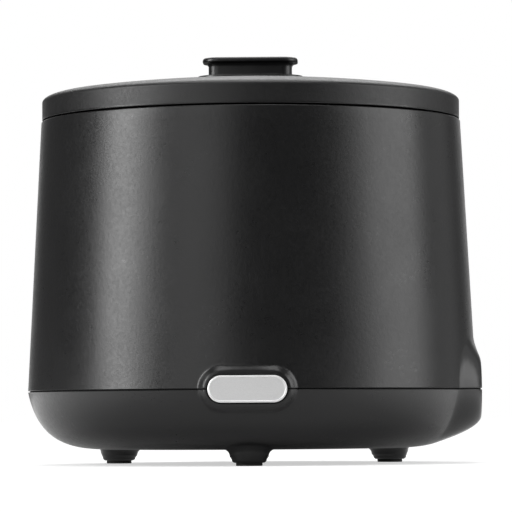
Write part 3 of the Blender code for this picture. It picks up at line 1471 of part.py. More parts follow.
def gland_nut():
    """The hexagonal nut inside the wall."""
    wall = GLAND_NECK_RADIUS + GAP
    face = gland_inner_y()
    place = facing(90.0, (0.0, 0.0, GLAND_Z))
    return nut("gland_nut", GLAND_NUT_RADIUS, wall, face - GLAND_NUT_HEIGHT, face, black_plastic(), place)


def gland_inner_y():
    """Distance from the axis to the nut's bearing face, clear of the curved wall's inside."""
    high = GLAND_Z + GLAND_NUT_RADIUS
    inner = upper_radius(high) - WALL
    return math.sqrt(inner * inner - GLAND_NUT_RADIUS**2) - GAP


def main():
    clear_scene()
    base_shell()
    outer_shell()
    badge_plate()
    for side, azimuth in FOOT_AZIMUTHS.items():
        foot_pad(side, azimuth)
    water_well()
    well_seal()
    well_screws()
    insulation_band()
    heat_plate()
    heating_ring()
    heat_reflector()
    clamp_stud()
    clamp_nut()
    base_washer()
    base_nut()
    thermal_cutout()
    control_panel()
    lamp_lens()
    lamp_holder()
    knob()
    knob_pointer()
    thermostat_spindle()
    thermostat_body()
    thermostat_nut()
    sensor_bulb()
    bulb_clip()
    capillary_tube()
    terminal_block()
    cord_gland()
    gland_nut()
    soup_pot()
    lid_shell()
    lid_liner()
    lid_seal()
    handle_plate()
    lid_handle()
    handle_screws()


main()
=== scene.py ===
"""The looks of a soup kettle: satin black mouldings round a steel well and pot, on a white sweep.

Metres, +Z up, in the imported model's own frame. The kettle's axis is Z. The front faces -Y, the
control panel faces +X and the cord gland faces +Y.
"""

import functools
import json
import math

import bmesh
import bpy
import numpy as np
from mathutils import Matrix, Vector


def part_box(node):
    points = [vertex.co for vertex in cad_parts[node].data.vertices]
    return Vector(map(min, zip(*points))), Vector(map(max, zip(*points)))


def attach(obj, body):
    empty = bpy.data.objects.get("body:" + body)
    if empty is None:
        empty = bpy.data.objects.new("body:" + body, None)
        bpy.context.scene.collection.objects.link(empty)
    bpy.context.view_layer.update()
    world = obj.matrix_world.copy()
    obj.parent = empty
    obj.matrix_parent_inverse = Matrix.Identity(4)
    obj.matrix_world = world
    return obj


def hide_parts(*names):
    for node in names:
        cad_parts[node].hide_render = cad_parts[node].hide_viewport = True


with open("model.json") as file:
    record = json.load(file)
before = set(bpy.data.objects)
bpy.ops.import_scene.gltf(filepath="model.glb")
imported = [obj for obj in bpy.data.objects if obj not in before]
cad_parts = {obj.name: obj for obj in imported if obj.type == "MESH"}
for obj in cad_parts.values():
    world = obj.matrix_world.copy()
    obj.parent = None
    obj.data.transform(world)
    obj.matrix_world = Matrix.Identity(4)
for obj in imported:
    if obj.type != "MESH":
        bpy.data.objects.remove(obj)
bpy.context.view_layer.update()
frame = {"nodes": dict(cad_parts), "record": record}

# Housing, as in the solids
GAP = 0.0003
WALL = 0.0028
SEAM_Z = 0.05535
SEAM_GAP = 0.0009
SEAM_RADIUS = 0.170
SEAM_ROUND = 0.0005
TAPER = 0.0527  # radius lost for each metre of height
RIM_Z = 0.2596
RIM_ROUND = 0.0011
RIM_RADIUS = SEAM_RADIUS - TAPER * (RIM_Z - SEAM_Z)
RIM_INNER_RADIUS = RIM_RADIUS - 0.0092369
RIM_INNER_ROUND = 0.0008
LEDGE_Z = RIM_Z - 0.0071
LEDGE_INNER_RADIUS = RIM_INNER_RADIUS - 0.016
BASE_Z = 0.0115
BASE_FLAT_RADIUS = 0.0994
BOWL_CENTRE_Z = 0.1071
BOWL_POWER = 3.36
TONGUE_HEIGHT = 0.0050
LIP_WALL = 0.0012
TONGUE_ROOT = 0.0035
BOWL_STEP, BOWL_INNER_STEP = 0.0009, 0.0030
PAD_TOP_Z = SEAM_Z + 0.044
LOWER_SEAM_Z = SEAM_Z - SEAM_GAP / 2
UPPER_SEAM_Z = SEAM_Z + SEAM_GAP / 2
FLOOR_Z = BASE_Z + WALL

# Pads that cross the seam
PAD_REACH = 0.172
CLEAR_REACH = 0.18  # beyond the pads
FRONT_AZIMUTH, SIDE_AZIMUTH, BACK_AZIMUTH = -90.0, 0.0, 90.0
PADS = {  # azimuth: half its straight part, end radius, width of its blended edge
    FRONT_AZIMUTH: (0.0184, 0.0115, 0.0065),
    SIDE_AZIMUTH: (0.033, 0.020, 0.020),
}
PLATE_STRAIGHT, PLATE_RADIUS = 0.018675, 0.009725
PLATE_MARGIN, PLATE_POCKET, PLATE_PROUD = 0.0009, 0.0016, 0.0004
PLATE_BEVEL, PLATE_RIM, PLATE_FIELD_DEPTH = 0.0009, 0.0004, 0.0003
PANEL_STRAIGHT, PANEL_RADIUS, PANEL_MARGIN = 0.033, 0.0171, 0.0004
PANEL_WALL, PANEL_DRAFT, PANEL_FLANGE, PANEL_FLANGE_WALL = 0.0022, 0.0008, 0.0040, 0.0020
PANEL_FRONT_X, PANEL_FLOOR_X, PANEL_BACK_X, PANEL_SEAT_X = 0.1712, 0.1565, 0.1543, 0.1695

# Vents, stud hole and feet
STUD_HOLE_RADIUS = 0.0033
VENT_CIRCLE_RADIUS, VENT_LENGTH, VENT_WIDTH = 0.064, 0.026, 0.004
FOOT_CIRCLE_RADIUS, FOOT_START = 0.1213, 30.0
BOSS_RADIUS, BOSS_END_RADIUS, BOSS_FILLET, BOSS_END_ROUND = 0.0142, 0.0127, 0.0052, 0.0024
BOSS_BOTTOM_Z, BOSS_SIDES = 0.0022, 48
FOOT_RADIUS, FOOT_THICKNESS, FOOT_ROUND = 0.0096, 0.0019, 0.0004
FOOT_GROOVES, FOOT_GROOVE, FOOT_GROOVE_RADIUS, FOOT_GROOVE_STEP = 4, 0.0004, 0.0018, 0.0019

# Well and pot
STEEL = 0.0010
WELL_TOP_RADIUS = LEDGE_INNER_RADIUS - 0.006
WELL_BOTTOM_RADIUS = WELL_TOP_RADIUS - 0.002
WELL_FLANGE_RADIUS = RIM_INNER_RADIUS - 0.001
WELL_CORNER, WELL_LIP, WELL_FLOOR_Z, WELL_TOP_Z = 0.014, 0.0030, 0.0550, RIM_Z - 0.0043
WELL_SCREW_CIRCLE_RADIUS, WELL_SCREW_HEAD_RADIUS = WELL_FLANGE_RADIUS - 0.0045, 0.0030
WELL_SCREW_RADIUS, WELL_SCREW_LENGTH, WELL_SCREW_HEAD = 0.0015, 0.0100, 0.0018
POT_TOP_RADIUS = WELL_TOP_RADIUS - 0.010
POT_BOTTOM_RADIUS = POT_TOP_RADIUS - 0.003
POT_FLANGE_RADIUS = WELL_TOP_RADIUS + 0.008
POT_CORNER, POT_LIP, POT_FLOOR_Z, POT_TOP_Z = 0.020, 0.0025, 0.0685, RIM_Z - 0.0020
POT_BEAD_RADIUS, POT_BEAD_Z = 0.0015, RIM_Z - 0.0025

# Lid and its handle
LID_Z = RIM_Z + 0.0012
DOME_EDGE_Z = LID_Z + 0.0193
LID_RADIUS = RIM_RADIUS - 0.0006
LID_WALL, LID_EDGE_ROUND, LID_LAND_Z = 0.0022, 0.0005, LID_Z + 0.0013
SHOULDER_WIDTH, SHOULDER_RISE, SHOULDER_END = 0.0161, 0.0062, 70.0
DOME_EDGE = LID_RADIUS - SHOULDER_WIDTH * (1 - math.cos(math.radians(SHOULDER_END)))
DOME_RISE, DOME_STEPS = 0.0103, 40
DOME_Z = DOME_EDGE_Z + DOME_RISE
RIB_Z, RIB_HEIGHT, RIB_DEPTH = RIM_Z + 0.0045, 0.0018, 0.0020
LINER_WALL, LINER_LAND_Z, LINER_FLANGE_Z = 0.0015, RIM_Z + 0.0006, RIM_Z + 0.0027
LINER_PLUG_RADIUS = POT_TOP_RADIUS - 0.0025
LINER_BOTTOM_Z, LINER_CROWN, LINER_PLUG_ROUND = LINER_LAND_Z - 0.0090, 0.0060, 0.0030
LINER_STEP_RADIUS = POT_FLANGE_RADIUS + 2 * POT_BEAD_RADIUS + 0.002
SEAL_INNER_GAP, SEAL_OUTER_GAP = 0.0035, 0.0015
HANDLE_PLATE_STRAIGHT, HANDLE_PLATE_RADIUS, HANDLE_PLATE_ROUND = 0.0182, 0.0220, 0.0005
HANDLE_PLATE_TOP_Z, HANDLE_PLATE_LAND = DOME_Z + 0.0042, 0.0022
NECK_STRAIGHT, NECK_RADIUS, NECK_FILLET, NECK_CORNER = 0.0181, 0.0136, 0.0034, 0.0080
GRIP_RADIUS, GRIP_THICKNESS, GRIP_ROUND, GRIP_TOP_ROUND = 0.0181, 0.0042, 0.0009, 0.0022
GRIP_CROWN = 0.0005
HANDLE_TOP_Z = HANDLE_PLATE_TOP_Z + 0.0141

# Knob, lamp and gland
KNOB_X, KNOB_RADIUS, KNOB_HEIGHT, KNOB_SKIRT = 0.1573, 0.0125, 0.0130, 0.0045
KNOB_ROUND, KNOB_BAR_STRAIGHT, KNOB_BAR_RADIUS = 0.0008, 0.0080, 0.0042
POINTER_LENGTH, POINTER_WIDTH, POINTER_DEPTH = 0.0070, 0.0012, 0.0008
KNOB_RECESS_RADIUS, KNOB_RECESS = 0.0100, 0.0034
KNOB_FLUTES, KNOB_FLUTE_RADIUS, KNOB_FLUTE_OUT = 48, 0.0005, 0.00022
KNOB_BORE_RADIUS, KNOB_BORE_DEPTH, BUSH_HOLE_RADIUS = 0.0033, 0.0078, 0.0051
DIAL_MARK_LENGTH, DIAL_MARK_WIDTH, DIAL_INK = 0.0007, 0.0006, 0.00006
DIAL_GAP, DIAL_DOT_RADIUS, DIAL_DOT_Y = 0.00045, 0.0007, 0.0230
LAMP_Y, LAMP_CAP_RADIUS, LAMP_CAP_HEIGHT = -0.0310, 0.0045, 0.0016
LAMP_RADIUS, LAMP_LENGTH, LAMP_HOLE_RADIUS = 0.0032, 0.0120, 0.0035
GLAND_Z, GLAND_SEAT_Y = 0.0780, 0.16718
GLAND_BORE_RADIUS, GLAND_NECK_RADIUS, GLAND_FLANGE_RADIUS = 0.0042, 0.0070, 0.0100
GLAND_FLANGE, GLAND_LENGTH = 0.0030, 0.0160

# Heating ring
HEATER_CIRCLE_RADIUS, HEATER_Z, HEATER_RADIUS = 0.062, 0.0460, 0.0034
HEATER_BEND, HEATER_DROP, HEATER_START = 0.0070, 0.0150, 20.0

# How finely the looks are divided
ROUND = 256
FINE_STEP, PLAIN_SHARE = 0.3, 5  # degrees; a plain column stands for this many fine ones
PAD_ROW = 0.0008

# Light, view and stage
CAMERA_DISTANCE, CAMERA_HEIGHT, CAMERA_AZIMUTH = 2.695, 0.0354, 1.2
CAMERA_LENS, CAMERA_ROLL = 249.3, -0.35
AIM_HEIGHT, AIM_RIGHT = 0.1577, 0.0034
FLOOR_REACH = 30.0
BOX_PLACE = 2.2, 0.9, 1.8, 0.15  # a softbox's distance, height, length and height aimed at
SOFTBOXES = (  # name, degrees from the front, width, watts; own values in BOX_PLACE's order
    ("left_box", -70, 0.77, 33),
    ("left_edge", -55, 0.38, 6.3),
    ("fill_box", -25, 1.15, 7.3),
    ("right_box", 80, 1.54, 24),
    ("right_edge", 55, 0.38, 1.8),
    ("rear_box", 120, 0.8, 1.8),
    ("top_box", 0, 1.6, 20, 0.2, 2.4, 1.6, 0.0),
    ("rear_top_box", 180, 2.4, 26, 1.5, 2.0, 1.0),
)


# ---- node trees ----


class Tree:
    """A node tree, with short ways to add a node and give its inputs a value or a link."""

    def __init__(self, tree):
        self.tree = tree

    def node(self, kind, inputs=None, **settings):
        made = self.tree.nodes.new(kind)
        for name, value in settings.items():
            setattr(made, name, value)
        for name, value in (inputs or {}).items():
            if isinstance(value, bpy.types.NodeSocket):
                self.tree.links.new(value, made.inputs[name])
            else:
                made.inputs[name].default_value = value
        return made

    def math(self, operation, *values, clamp=False):
        inputs = dict(enumerate(values))
        return self.node("ShaderNodeMath", inputs, operation=operation, use_clamp=clamp).outputs[0]

    def add(self, first, second, clamp=False):
        return self.math("ADD", first, second, clamp=clamp)

    def times(self, first, second):
        return self.math("MULTIPLY", first, second)

    def less(self, first, second):
        return self.math("SUBTRACT", first, second)

    def vector(self, operation, *values):
        made = self.node("ShaderNodeVectorMath", dict(enumerate(values)), operation=operation)
        scalar = operation in ("DOT_PRODUCT", "LENGTH", "DISTANCE")
        return made.outputs["Value" if scalar else "Vector"]

    def parts(self, place):
        return self.node("ShaderNodeSeparateXYZ", {0: place}).outputs

    def joined(self, *values):
        return self.node("ShaderNodeCombineXYZ", dict(enumerate(values))).outputs[0]

    def mix(self, share, first, second):
        """A tone between two, which are each given as one number or as three."""
        inputs = {0: share}
        for socket, tone in ((6, first), (7, second)):
            inputs[socket] = (*(tone if isinstance(tone, tuple) else (tone,) * 3), 1.0)
        return self.node("ShaderNodeMix", inputs, data_type="RGBA").outputs[2]

    def rays(self):
        """The kinds of ray, and whether this one comes from the camera or through glass."""
        rays = self.node("ShaderNodeLightPath").outputs
        return rays, self.add(rays["Is Camera Ray"], rays["Is Transmission Ray"], clamp=True)

    def blend(self, share, first, second):
        """A number between two."""
        inputs = {0: share, 2: first, 3: second}
        return self.node("ShaderNodeMix", inputs, data_type="FLOAT").outputs[0]

    def remap(self, value, low, high, to_low, to_high, kind="LINEAR"):
        inputs = {0: value, 1: low, 2: high, 3: to_low, 4: to_high}
        return self.node("ShaderNodeMapRange", inputs, interpolation_type=kind).outputs[0]


def geometry_tree(name, sizes):
    """A Geometry Nodes tree with these sizes, given by name, and a finish as its inputs."""
    group = bpy.data.node_groups.new(name, "GeometryNodeTree")
    face = group.interface
    face.new_socket("Geometry", in_out="INPUT", socket_type="NodeSocketGeometry")
    face.new_socket("Finish", in_out="INPUT", socket_type="NodeSocketMaterial")
    for label, value in sizes.items():
        kind = "NodeSocketInt" if isinstance(value, int) else "NodeSocketFloat"
        face.new_socket(label, in_out="INPUT", socket_type=kind).default_value = value
    face.new_socket("Geometry", in_out="OUTPUT", socket_type="NodeSocketGeometry")
    tree = Tree(group)
    return tree, tree.node("NodeGroupInput").outputs


def end_tree(tree, given, geometry):
    """Ends a tree with real meshes in their finish."""
    real = tree.node("GeometryNodeRealizeInstances", {0: geometry})
    inputs = {"Geometry": real.outputs[0], "Material": given["Finish"]}
    painted = tree.node("GeometryNodeSetMaterial", inputs)
    tree.node("NodeGroupOutput", {0: painted.outputs[0]})
    return tree.tree


@functools.cache
def pad_tree():
    """Draws a wall out to a flat pad, a stadium in outline, with a blended edge.

    Each point's inset is how far it lies behind the housing's outer face.
    """
    sizes = dict.fromkeys(("Azimuth", "Height", "Reach", "Straight", "Radius", "Blend"), 0.0)
    tree, given = geometry_tree("Pad", sizes)
    turn = tree.math("RADIANS", given["Azimuth"])
    cosine, sine = tree.math("COSINE", turn), tree.math("SINE", turn)
    outward = tree.joined(cosine, sine)
    along = tree.joined(tree.times(sine, -1.0), cosine)
    place = tree.node("GeometryNodeInputPosition").outputs[0]
    reach = tree.vector("DOT_PRODUCT", place, outward)
    across = tree.math("ABSOLUTE", tree.vector("DOT_PRODUCT", place, along))
    beyond = tree.math("MAXIMUM", tree.less(across, given["Straight"]), 0.0)
    rise = tree.less(tree.parts(place)[2], given["Height"])
    distance = tree.math("SQRT", tree.add(tree.times(beyond, beyond), tree.times(rise, rise)))
    end = tree.add(given["Radius"], given["Blend"])
    weight = tree.remap(distance, given["Radius"], end, 1.0, 0.0, "SMOOTHSTEP")
    faced = tree.times(weight, tree.math("GREATER_THAN", reach, 0.0))
    inset = tree.node("GeometryNodeInputNamedAttribute", {"Name": "inset"}, data_type="FLOAT")
    short = tree.less(tree.less(given["Reach"], inset.outputs[0]), reach)
    inputs = {0: outward, "Scale": tree.times(short, faced)}
    drawn = tree.node("ShaderNodeVectorMath", inputs, operation="SCALE").outputs[0]
    inputs = {"Geometry": given["Geometry"], "Offset": drawn}
    return end_tree(tree, given, tree.node("GeometryNodeSetPosition", inputs).outputs[0])


@functools.cache
def ring_tree():
    """Repeats a shape round Z, by a number of equal steps from a starting angle."""
    tree, given = geometry_tree("Round the axis", {"Count": 1, "Start": 0.0, "Step": 0.0})
    points = tree.node("GeometryNodePoints", {"Count": given["Count"]}).outputs[0]
    number = tree.node("GeometryNodeInputIndex").outputs[0]
    angle = tree.add(given["Start"], tree.times(number, given["Step"]))
    turn = tree.joined(0.0, 0.0, tree.math("RADIANS", angle))
    inputs = {"Points": points, "Instance": given["Geometry"], "Rotation": turn}
    placed = tree.node("GeometryNodeInstanceOnPoints", inputs)
    return end_tree(tree, given, placed.outputs[0])


@functools.cache
def tube_tree():
    """Sweeps a round tube, closed at its ends, along a line of edges."""
    tree, given = geometry_tree("Tube", {"Radius": 0.001, "Sides": 12})
    line = tree.node("GeometryNodeMeshToCurve", {0: given["Geometry"]}).outputs[0]
    inputs = {"Resolution": given["Sides"], "Radius": given["Radius"]}
    circle = tree.node("GeometryNodeCurvePrimitiveCircle", inputs).outputs[0]
    inputs = {"Curve": line, "Profile Curve": circle, "Fill Caps": True}
    swept = tree.node("GeometryNodeCurveToMesh", inputs).outputs[0]
    return end_tree(tree, given, swept)


def grow(obj, tree, look, **sizes):
    """Adds a tree to an object, with its inputs set by their sockets' identifiers."""
    modifier = obj.modifiers.new(tree.name, "NODES")
    modifier.node_group = tree
    values = {"Finish": look}
    values.update({label.replace("_", " ").capitalize(): value for label, value in sizes.items()})
    for socket in tree.interface.items_tree:
        if socket.in_out == "INPUT" and socket.name in values:
            modifier[socket.identifier] = values[socket.name]
    return obj


def settle(obj):
    """Turns the result of an object's modifiers into its plain mesh."""
    graph = bpy.context.evaluated_depsgraph_get()
    mesh = bpy.data.meshes.new_from_object(obj.evaluated_get(graph))
    obj.modifiers.clear()
    obj.data = mesh
    return obj


# ---- finishes ----


class Finish(Tree):
    """A Principled material. Its constants go straight on the shader's own sockets."""

    def __init__(self, name, color, roughness, metallic=0.0, **constants):
        self.made = bpy.data.materials.new(name)
        self.made.use_nodes = True
        self.made.diffuse_color = (*color, 1.0)
        super().__init__(self.made.node_tree)
        self.shader = self.tree.nodes["Principled BSDF"]
        constants.update(Base_Color=(*color, 1.0), Roughness=roughness, Metallic=metallic)
        for label, value in constants.items():
            self.shader.inputs[label.replace("_", " ")].default_value = value

    def place(self, scale=(1.0, 1.0, 1.0)):
        """Object coordinates, stretched by a scale for each axis."""
        place = self.node("ShaderNodeTexCoord").outputs["Object"]
        return self.node("ShaderNodeMapping", {"Vector": place, "Scale": scale}).outputs[0]

    def turned_place(self, ring_scale, along_scale):
        """Coordinates stretched round Z: the distance from the axis, the height and a slow turn."""
        x, y, z = self.parts(self.place())
        radius = self.vector("LENGTH", self.joined(x, y))
        angle = self.times(self.math("ARCTAN2", y, x), along_scale)
        return self.joined(self.times(radius, ring_scale), self.times(z, ring_scale), angle)

    def noise(self, place, scale, detail=2.0, rough=0.5):
        inputs = {"Vector": place, "Scale": scale, "Detail": detail, "Roughness": rough}
        return self.node("ShaderNodeTexNoise", inputs).outputs["Fac"]

    def tint(self, share, first, second):
        """Colours the surface between two tones."""
        self.tree.links.new(self.mix(share, first, second), self.shader.inputs["Base Color"])

    def gloss(self, share, low, high):
        """Lets the roughness wander between two values."""
        self.tree.links.new(self.remap(share, 0.3, 0.7, low, high), self.shader.inputs["Roughness"])

    def relief(self, height, depth):
        """Raises the surface by a height from 0 to 1, of this depth in metres."""
        inputs = {"Strength": 1.0, "Distance": depth, "Height": height}
        bump = self.node("ShaderNodeBump", inputs)
        self.tree.links.new(bump.outputs[0], self.shader.inputs["Normal"])

    def mottled(self, pattern, tones, shine, depth=0.0, pits=None, stretch=(1.0, 1.0, 1.0)):
        """One noise sets the tone and the gloss. The relief comes from pits, or from that noise."""
        share = self.noise(self.place(stretch), *pattern)
        self.tint(share, *tones)
        self.gloss(share, *shine)
        if depth:
            self.relief(self.noise(self.place(), *pits) if pits else share, depth)
        return self.made


BLACK = (0.005, 0.005, 0.0052)
BLACK_TONES = (0.0036, 0.0036, 0.0038), (0.0062, 0.0062, 0.0065)


def satin_black(name, low, high, depth):
    """Spark-eroded black plastic: fine pits, a coarser grain and a wandering roughness."""
    black = Finish(name, BLACK, low, IOR=1.54)
    place = black.place()
    pits, grain = black.noise(place, 1200.0, 3.0, 0.62), black.noise(place, 400.0, 2.0)
    cloud = black.noise(place, 26.0, 3.0)
    black.tint(black.noise(place, 900.0, 2.0), *BLACK_TONES)
    black.gloss(black.add(black.times(grain, 0.6), black.times(cloud, 0.4)), low, high)
    black.relief(black.add(black.times(pits, 0.5), grain), depth)
    return black.made


def smooth_black():
    """The same plastic from a polished mould, on the knob, the handle and the panel."""
    black, pits = Finish("smooth_black", BLACK, 0.30, IOR=1.54), (1900.0, 2.0, 0.6)
    return black.mottled((70.0, 3.0), BLACK_TONES, (0.26, 0.38), 0.00006, pits, (1.0, 1.0, 0.3))


def joint_black():
    """Dull black, down in the joint between the housings where little light reaches: its rough,
    weakly reflecting finish is painted shade that deepens the seam, over a colour no darker than
    the housings'.
    """
    painted_seam_shade = Finish("joint_black", (0.006, 0.006, 0.006), 0.80, IOR=1.3)
    return painted_seam_shade.mottled((400.0, 4.0), (0.004, 0.008), (0.72, 0.88), 0.00005)


def badge_silver():
    """Satin anodised aluminium with a fine horizontal grain."""
    silver = Finish("badge_silver", (0.62, 0.62, 0.62), 0.34, 0.45)
    grain = silver.noise(silver.place((0.06, 1.0, 1.0)), 2600.0, 3.0, 0.6)
    silver.tint(silver.noise(silver.place(), 2200.0), 0.68, 0.84)
    silver.gloss(grain, 0.30, 0.44)
    silver.relief(grain, 0.00003)
    return silver.made


def bright_bevel():
    """The badge's diamond-cut bevel, lighter than the field: partly its cut finish, partly a
    painted highlight along the rim.
    """
    bevel = Finish("bright_bevel", (0.90, 0.90, 0.90), 0.32, 0.35)
    return bevel.mottled((5200.0,), (0.86, 0.94), (0.26, 0.38))


def foot_rubber():
    """Matt black rubber, dusty and slightly mottled."""
    rubber = Finish("foot_rubber", (0.012, 0.012, 0.012), 0.80, IOR=1.4)
    tones = 0.008, (0.022, 0.021, 0.020)
    return rubber.mottled((160.0, 5.0, 0.65), tones, (0.72, 0.88), 0.00010, (1300.0, 3.0))


def spun_steel():
    """Stainless steel brushed round the axis, with faint water marks."""
    steel = Finish("spun_steel", (0.60, 0.60, 0.59), 0.26, 1.0)
    brushed = steel.noise(steel.turned_place(2600.0, 3.0), 1.0, 3.0, 0.6)
    marks = steel.noise(steel.place(), 22.0, 4.0, 0.6)
    steel.tint(marks, (0.54, 0.54, 0.53), (0.66, 0.66, 0.65))
    steel.gloss(steel.add(steel.times(brushed, 0.7), steel.times(marks, 0.3)), 0.20, 0.36)
    steel.relief(brushed, 0.00003)
    return steel.made


def turned_aluminium():
    """Lathe-turned aluminium, with the tool's rings."""
    metal = Finish("turned_aluminium", (0.66, 0.66, 0.67), 0.38, 1.0)
    rings = metal.noise(metal.turned_place(1500.0, 1.0), 1.0)
    metal.tint(rings, (0.58, 0.58, 0.59), (0.72, 0.72, 0.73))
    metal.gloss(rings, 0.30, 0.46)
    metal.relief(rings, 0.00005)
    return metal.made


def zinc_plate():
    """Bright zinc with a faint blue and yellow bloom."""
    zinc = Finish("zinc_plate", (0.62, 0.63, 0.65), 0.36, 1.0)
    tones = (0.56, 0.59, 0.64), (0.68, 0.66, 0.58)
    return zinc.mottled((300.0, 4.0), tones, (0.28, 0.46), 0.00004, (2500.0,))


def milky_silicone():
    """Translucent silicone rubber."""
    silicone = Finish("milky_silicone", (0.62, 0.61, 0.58), 0.48, IOR=1.41)
    tones = (0.55, 0.54, 0.50), (0.68, 0.67, 0.64)
    return silicone.mottled((120.0, 3.0), tones, (0.42, 0.56), 0.00004, (1800.0,))


def glass_cloth():
    """Woven glass-fibre cloth: threads round the band and threads up it."""
    cloth = Finish("glass_cloth", (0.74, 0.70, 0.56), 0.85, Sheen_Weight=0.3)
    place = cloth.place()
    x, y, z = cloth.parts(place)
    warp = cloth.math("SINE", cloth.times(cloth.math("ARCTAN2", y, x), 560.0))
    weft = cloth.math("SINE", cloth.times(z, 4200.0))
    cross = cloth.times(cloth.times(warp, weft), 0.4)
    thread = cloth.add(cross, cloth.noise(place, 420.0, 4.0), clamp=True)
    cloth.tint(thread, (0.56, 0.52, 0.38), (0.84, 0.81, 0.70))
    cloth.relief(thread, 0.00030)
    return cloth.made


def cream_nylon():
    """Moulded cream nylon with faint flow marks."""
    nylon = Finish("cream_nylon", (0.72, 0.69, 0.60), 0.46, IOR=1.53)
    tones = (0.66, 0.63, 0.53), (0.78, 0.75, 0.67)
    return nylon.mottled((110.0, 4.0), tones, (0.38, 0.54), 0.00005, (1600.0,), (1.0, 1.0, 0.4))


def red_lens():
    """A clear red polycarbonate lens with a prismatic back."""
    lens = Finish("red_lens", (0.50, 0.02, 0.012), 0.10, IOR=1.585, Coat_Weight=0.6)
    place = lens.place()
    prism = lens.node("ShaderNodeTexVoronoi", {"Vector": place, "Scale": 900.0}).outputs["Distance"]
    lens.tint(prism, (0.62, 0.03, 0.015), (0.24, 0.005, 0.004))
    lens.gloss(lens.noise(place, 200.0), 0.07, 0.14)
    lens.relief(prism, 0.00012)
    return lens.made


def white_ink():
    """White pad-printed ink and inlays."""
    ink = Finish("white_ink", (0.78, 0.78, 0.77), 0.52)
    tones = (0.66, 0.66, 0.65), (0.84, 0.84, 0.83)
    return ink.mottled((700.0, 4.0), tones, (0.45, 0.60), 0.00002)


def drawn_brass():
    """Drawn brass, slightly tarnished."""
    brass = Finish("drawn_brass", (0.68, 0.50, 0.24), 0.32, 1.0)
    tones = (0.44, 0.30, 0.14), (0.76, 0.57, 0.28)
    return brass.mottled((140.0, 5.0, 0.62), tones, (0.26, 0.46), 0.00003, (2400.0,))


# ---- shapes ----


def polar(radius, degrees, height=0.0):
    angle = math.radians(degrees)
    return Vector((radius * math.cos(angle), radius * math.sin(angle), height))


def facing(azimuth, height=SEAM_Z, x=0.0, y=0.0):
    """A frame at a place whose Z points outwards at an azimuth and whose Y points up."""
    outward, up = polar(1.0, azimuth), Vector((0.0, 0.0, 1.0))
    turn = Matrix((up.cross(outward), up, outward)).transposed().to_4x4()
    return Matrix.Translation((x, y, height)) @ turn


def arc(across, up, radius, start, end, steps):
    """Points on an arc, from a start to an end angle in degrees."""
    angles = [math.radians(start + (end - start) * i / steps) for i in range(steps + 1)]
    return [(across + radius * math.cos(angle), up + radius * math.sin(angle)) for angle in angles]


def rounded(corners, closed=False, steps=5):
    """A path through corners of (across, up), or of (across, up, radius) where it is rounded."""
    points = []
    count = len(corners)
    for i, corner in enumerate(corners):
        here = Vector(corner[:2])
        at_end = not closed and i in (0, count - 1)
        if len(corner) < 3 or at_end:
            points.append(tuple(here))
            continue
        radius = corner[2]
        back = (Vector(corners[i - 1][:2]) - here).normalized()
        ahead = (Vector(corners[(i + 1) % count][:2]) - here).normalized()
        half = math.acos(max(-1.0, min(1.0, back.dot(ahead)))) / 2
        centre = here + (back + ahead).normalized() * radius / math.sin(half)
        first = here + back * radius / math.tan(half) - centre
        last = here + ahead * radius / math.tan(half) - centre
        start = math.atan2(first.y, first.x)
        sweep = math.atan2(first.x * last.y - first.y * last.x, first.dot(last))
        for step in range(steps + 1):
            angle = start + sweep * step / steps
            on_arc = centre.x + radius * math.cos(angle), centre.y + radius * math.sin(angle)
            points.append(on_arc)
    return points


def offset(path, distance):
    """An open path moved to its left by a distance, with mitred corners."""
    points = [Vector(point) for point in path]
    moved = []
    for i, point in enumerate(points):
        sides = [(point - points[i - 1]).normalized()] if i > 0 else []
        if i < len(points) - 1:
            sides.append((points[i + 1] - point).normalized())
        normals = [Vector((-side.y, side.x)) for side in sides]
        middle = sum(normals, Vector((0.0, 0.0))).normalized()
        moved.append(tuple(point + middle * distance / middle.dot(normals[0])))
    return moved


def made(name, work, look=None, place=None):
    """An object from a bmesh, moved to its place, merged, facing outwards and smooth."""
    bmesh.ops.transform(work, matrix=place or Matrix.Identity(4), verts=work.verts)
    bmesh.ops.remove_doubles(work, verts=work.verts, dist=0.0000005)
    bmesh.ops.recalc_face_normals(work, faces=work.faces)
    mesh = bpy.data.meshes.new(name)
    work.to_mesh(mesh)
    work.free()
    return smoothed(shown(name, mesh, look))


def shown(name, data, look=None):
    """An object in the scene, with a finish if it has one."""
    if look:
        data.materials.append(look)
    obj = bpy.data.objects.new(name, data)
    bpy.context.scene.collection.objects.link(obj)
    return obj


def smoothed(obj, sharp=32.0):
    """Smooth shading, with sharp edges above an angle."""
    mesh = obj.data
    mesh.polygons.foreach_set("use_smooth", [True] * len(mesh.polygons))
    mesh.set_sharp_from_angle(angle=math.radians(sharp))
    return obj


def ring_of(work, radius, height, angles):
    """Points round the axis at these angles, or one point on the axis in place of them all."""
    if radius < 0.000001:
        return [work.verts.new((0.0, 0.0, height))] * len(angles)
    return [work.verts.new(polar(radius, angle, height)) for angle in angles]


def bridged(work, rings, closed=False):
    """Faces from each ring to the next, and from the last to the first where they close."""
    for low, high in zip(rings, rings[1:] + rings[:closed]):
        for i, corner in enumerate(low):
            after = (i + 1) % len(low)
            corners = list(dict.fromkeys([corner, low[after], high[after], high[i]]))
            if len(corners) > 2:
                work.faces.new(corners)


def turned(name, outline, look, segments=ROUND, place=None, closed=True):
    """An outline of (radius, height) turned round Z, with a pole where it meets the axis."""
    work = bmesh.new()
    angles = [360 * i / segments for i in range(segments)]
    bridged(work, [ring_of(work, radius, height, angles) for radius, height in outline], closed)
    return made(name, work, look, place)


def cylinder(name, radius, low, high, look, place=None, segments=64):
    return turned(name, [(0, low), (radius, low), (radius, high), (0, high)], look, segments, place)


def stadium(straight, radius, height, steps=20, corner=None):
    """A stadium's outline along X, which ends in half circles, or in flats with round corners."""
    corner = corner or radius
    flat = radius - corner
    end = arc(flat, -flat, corner, -90, 0, steps // 2) + arc(flat, flat, corner, 0, 90, steps // 2)
    if not flat:
        end = arc(0.0, 0.0, radius, -90, 90, steps)
    points = [Vector((x + straight, y, height)) for x, y in end]
    return points + [Vector((-point.x, -point.y, height)) for point in points]


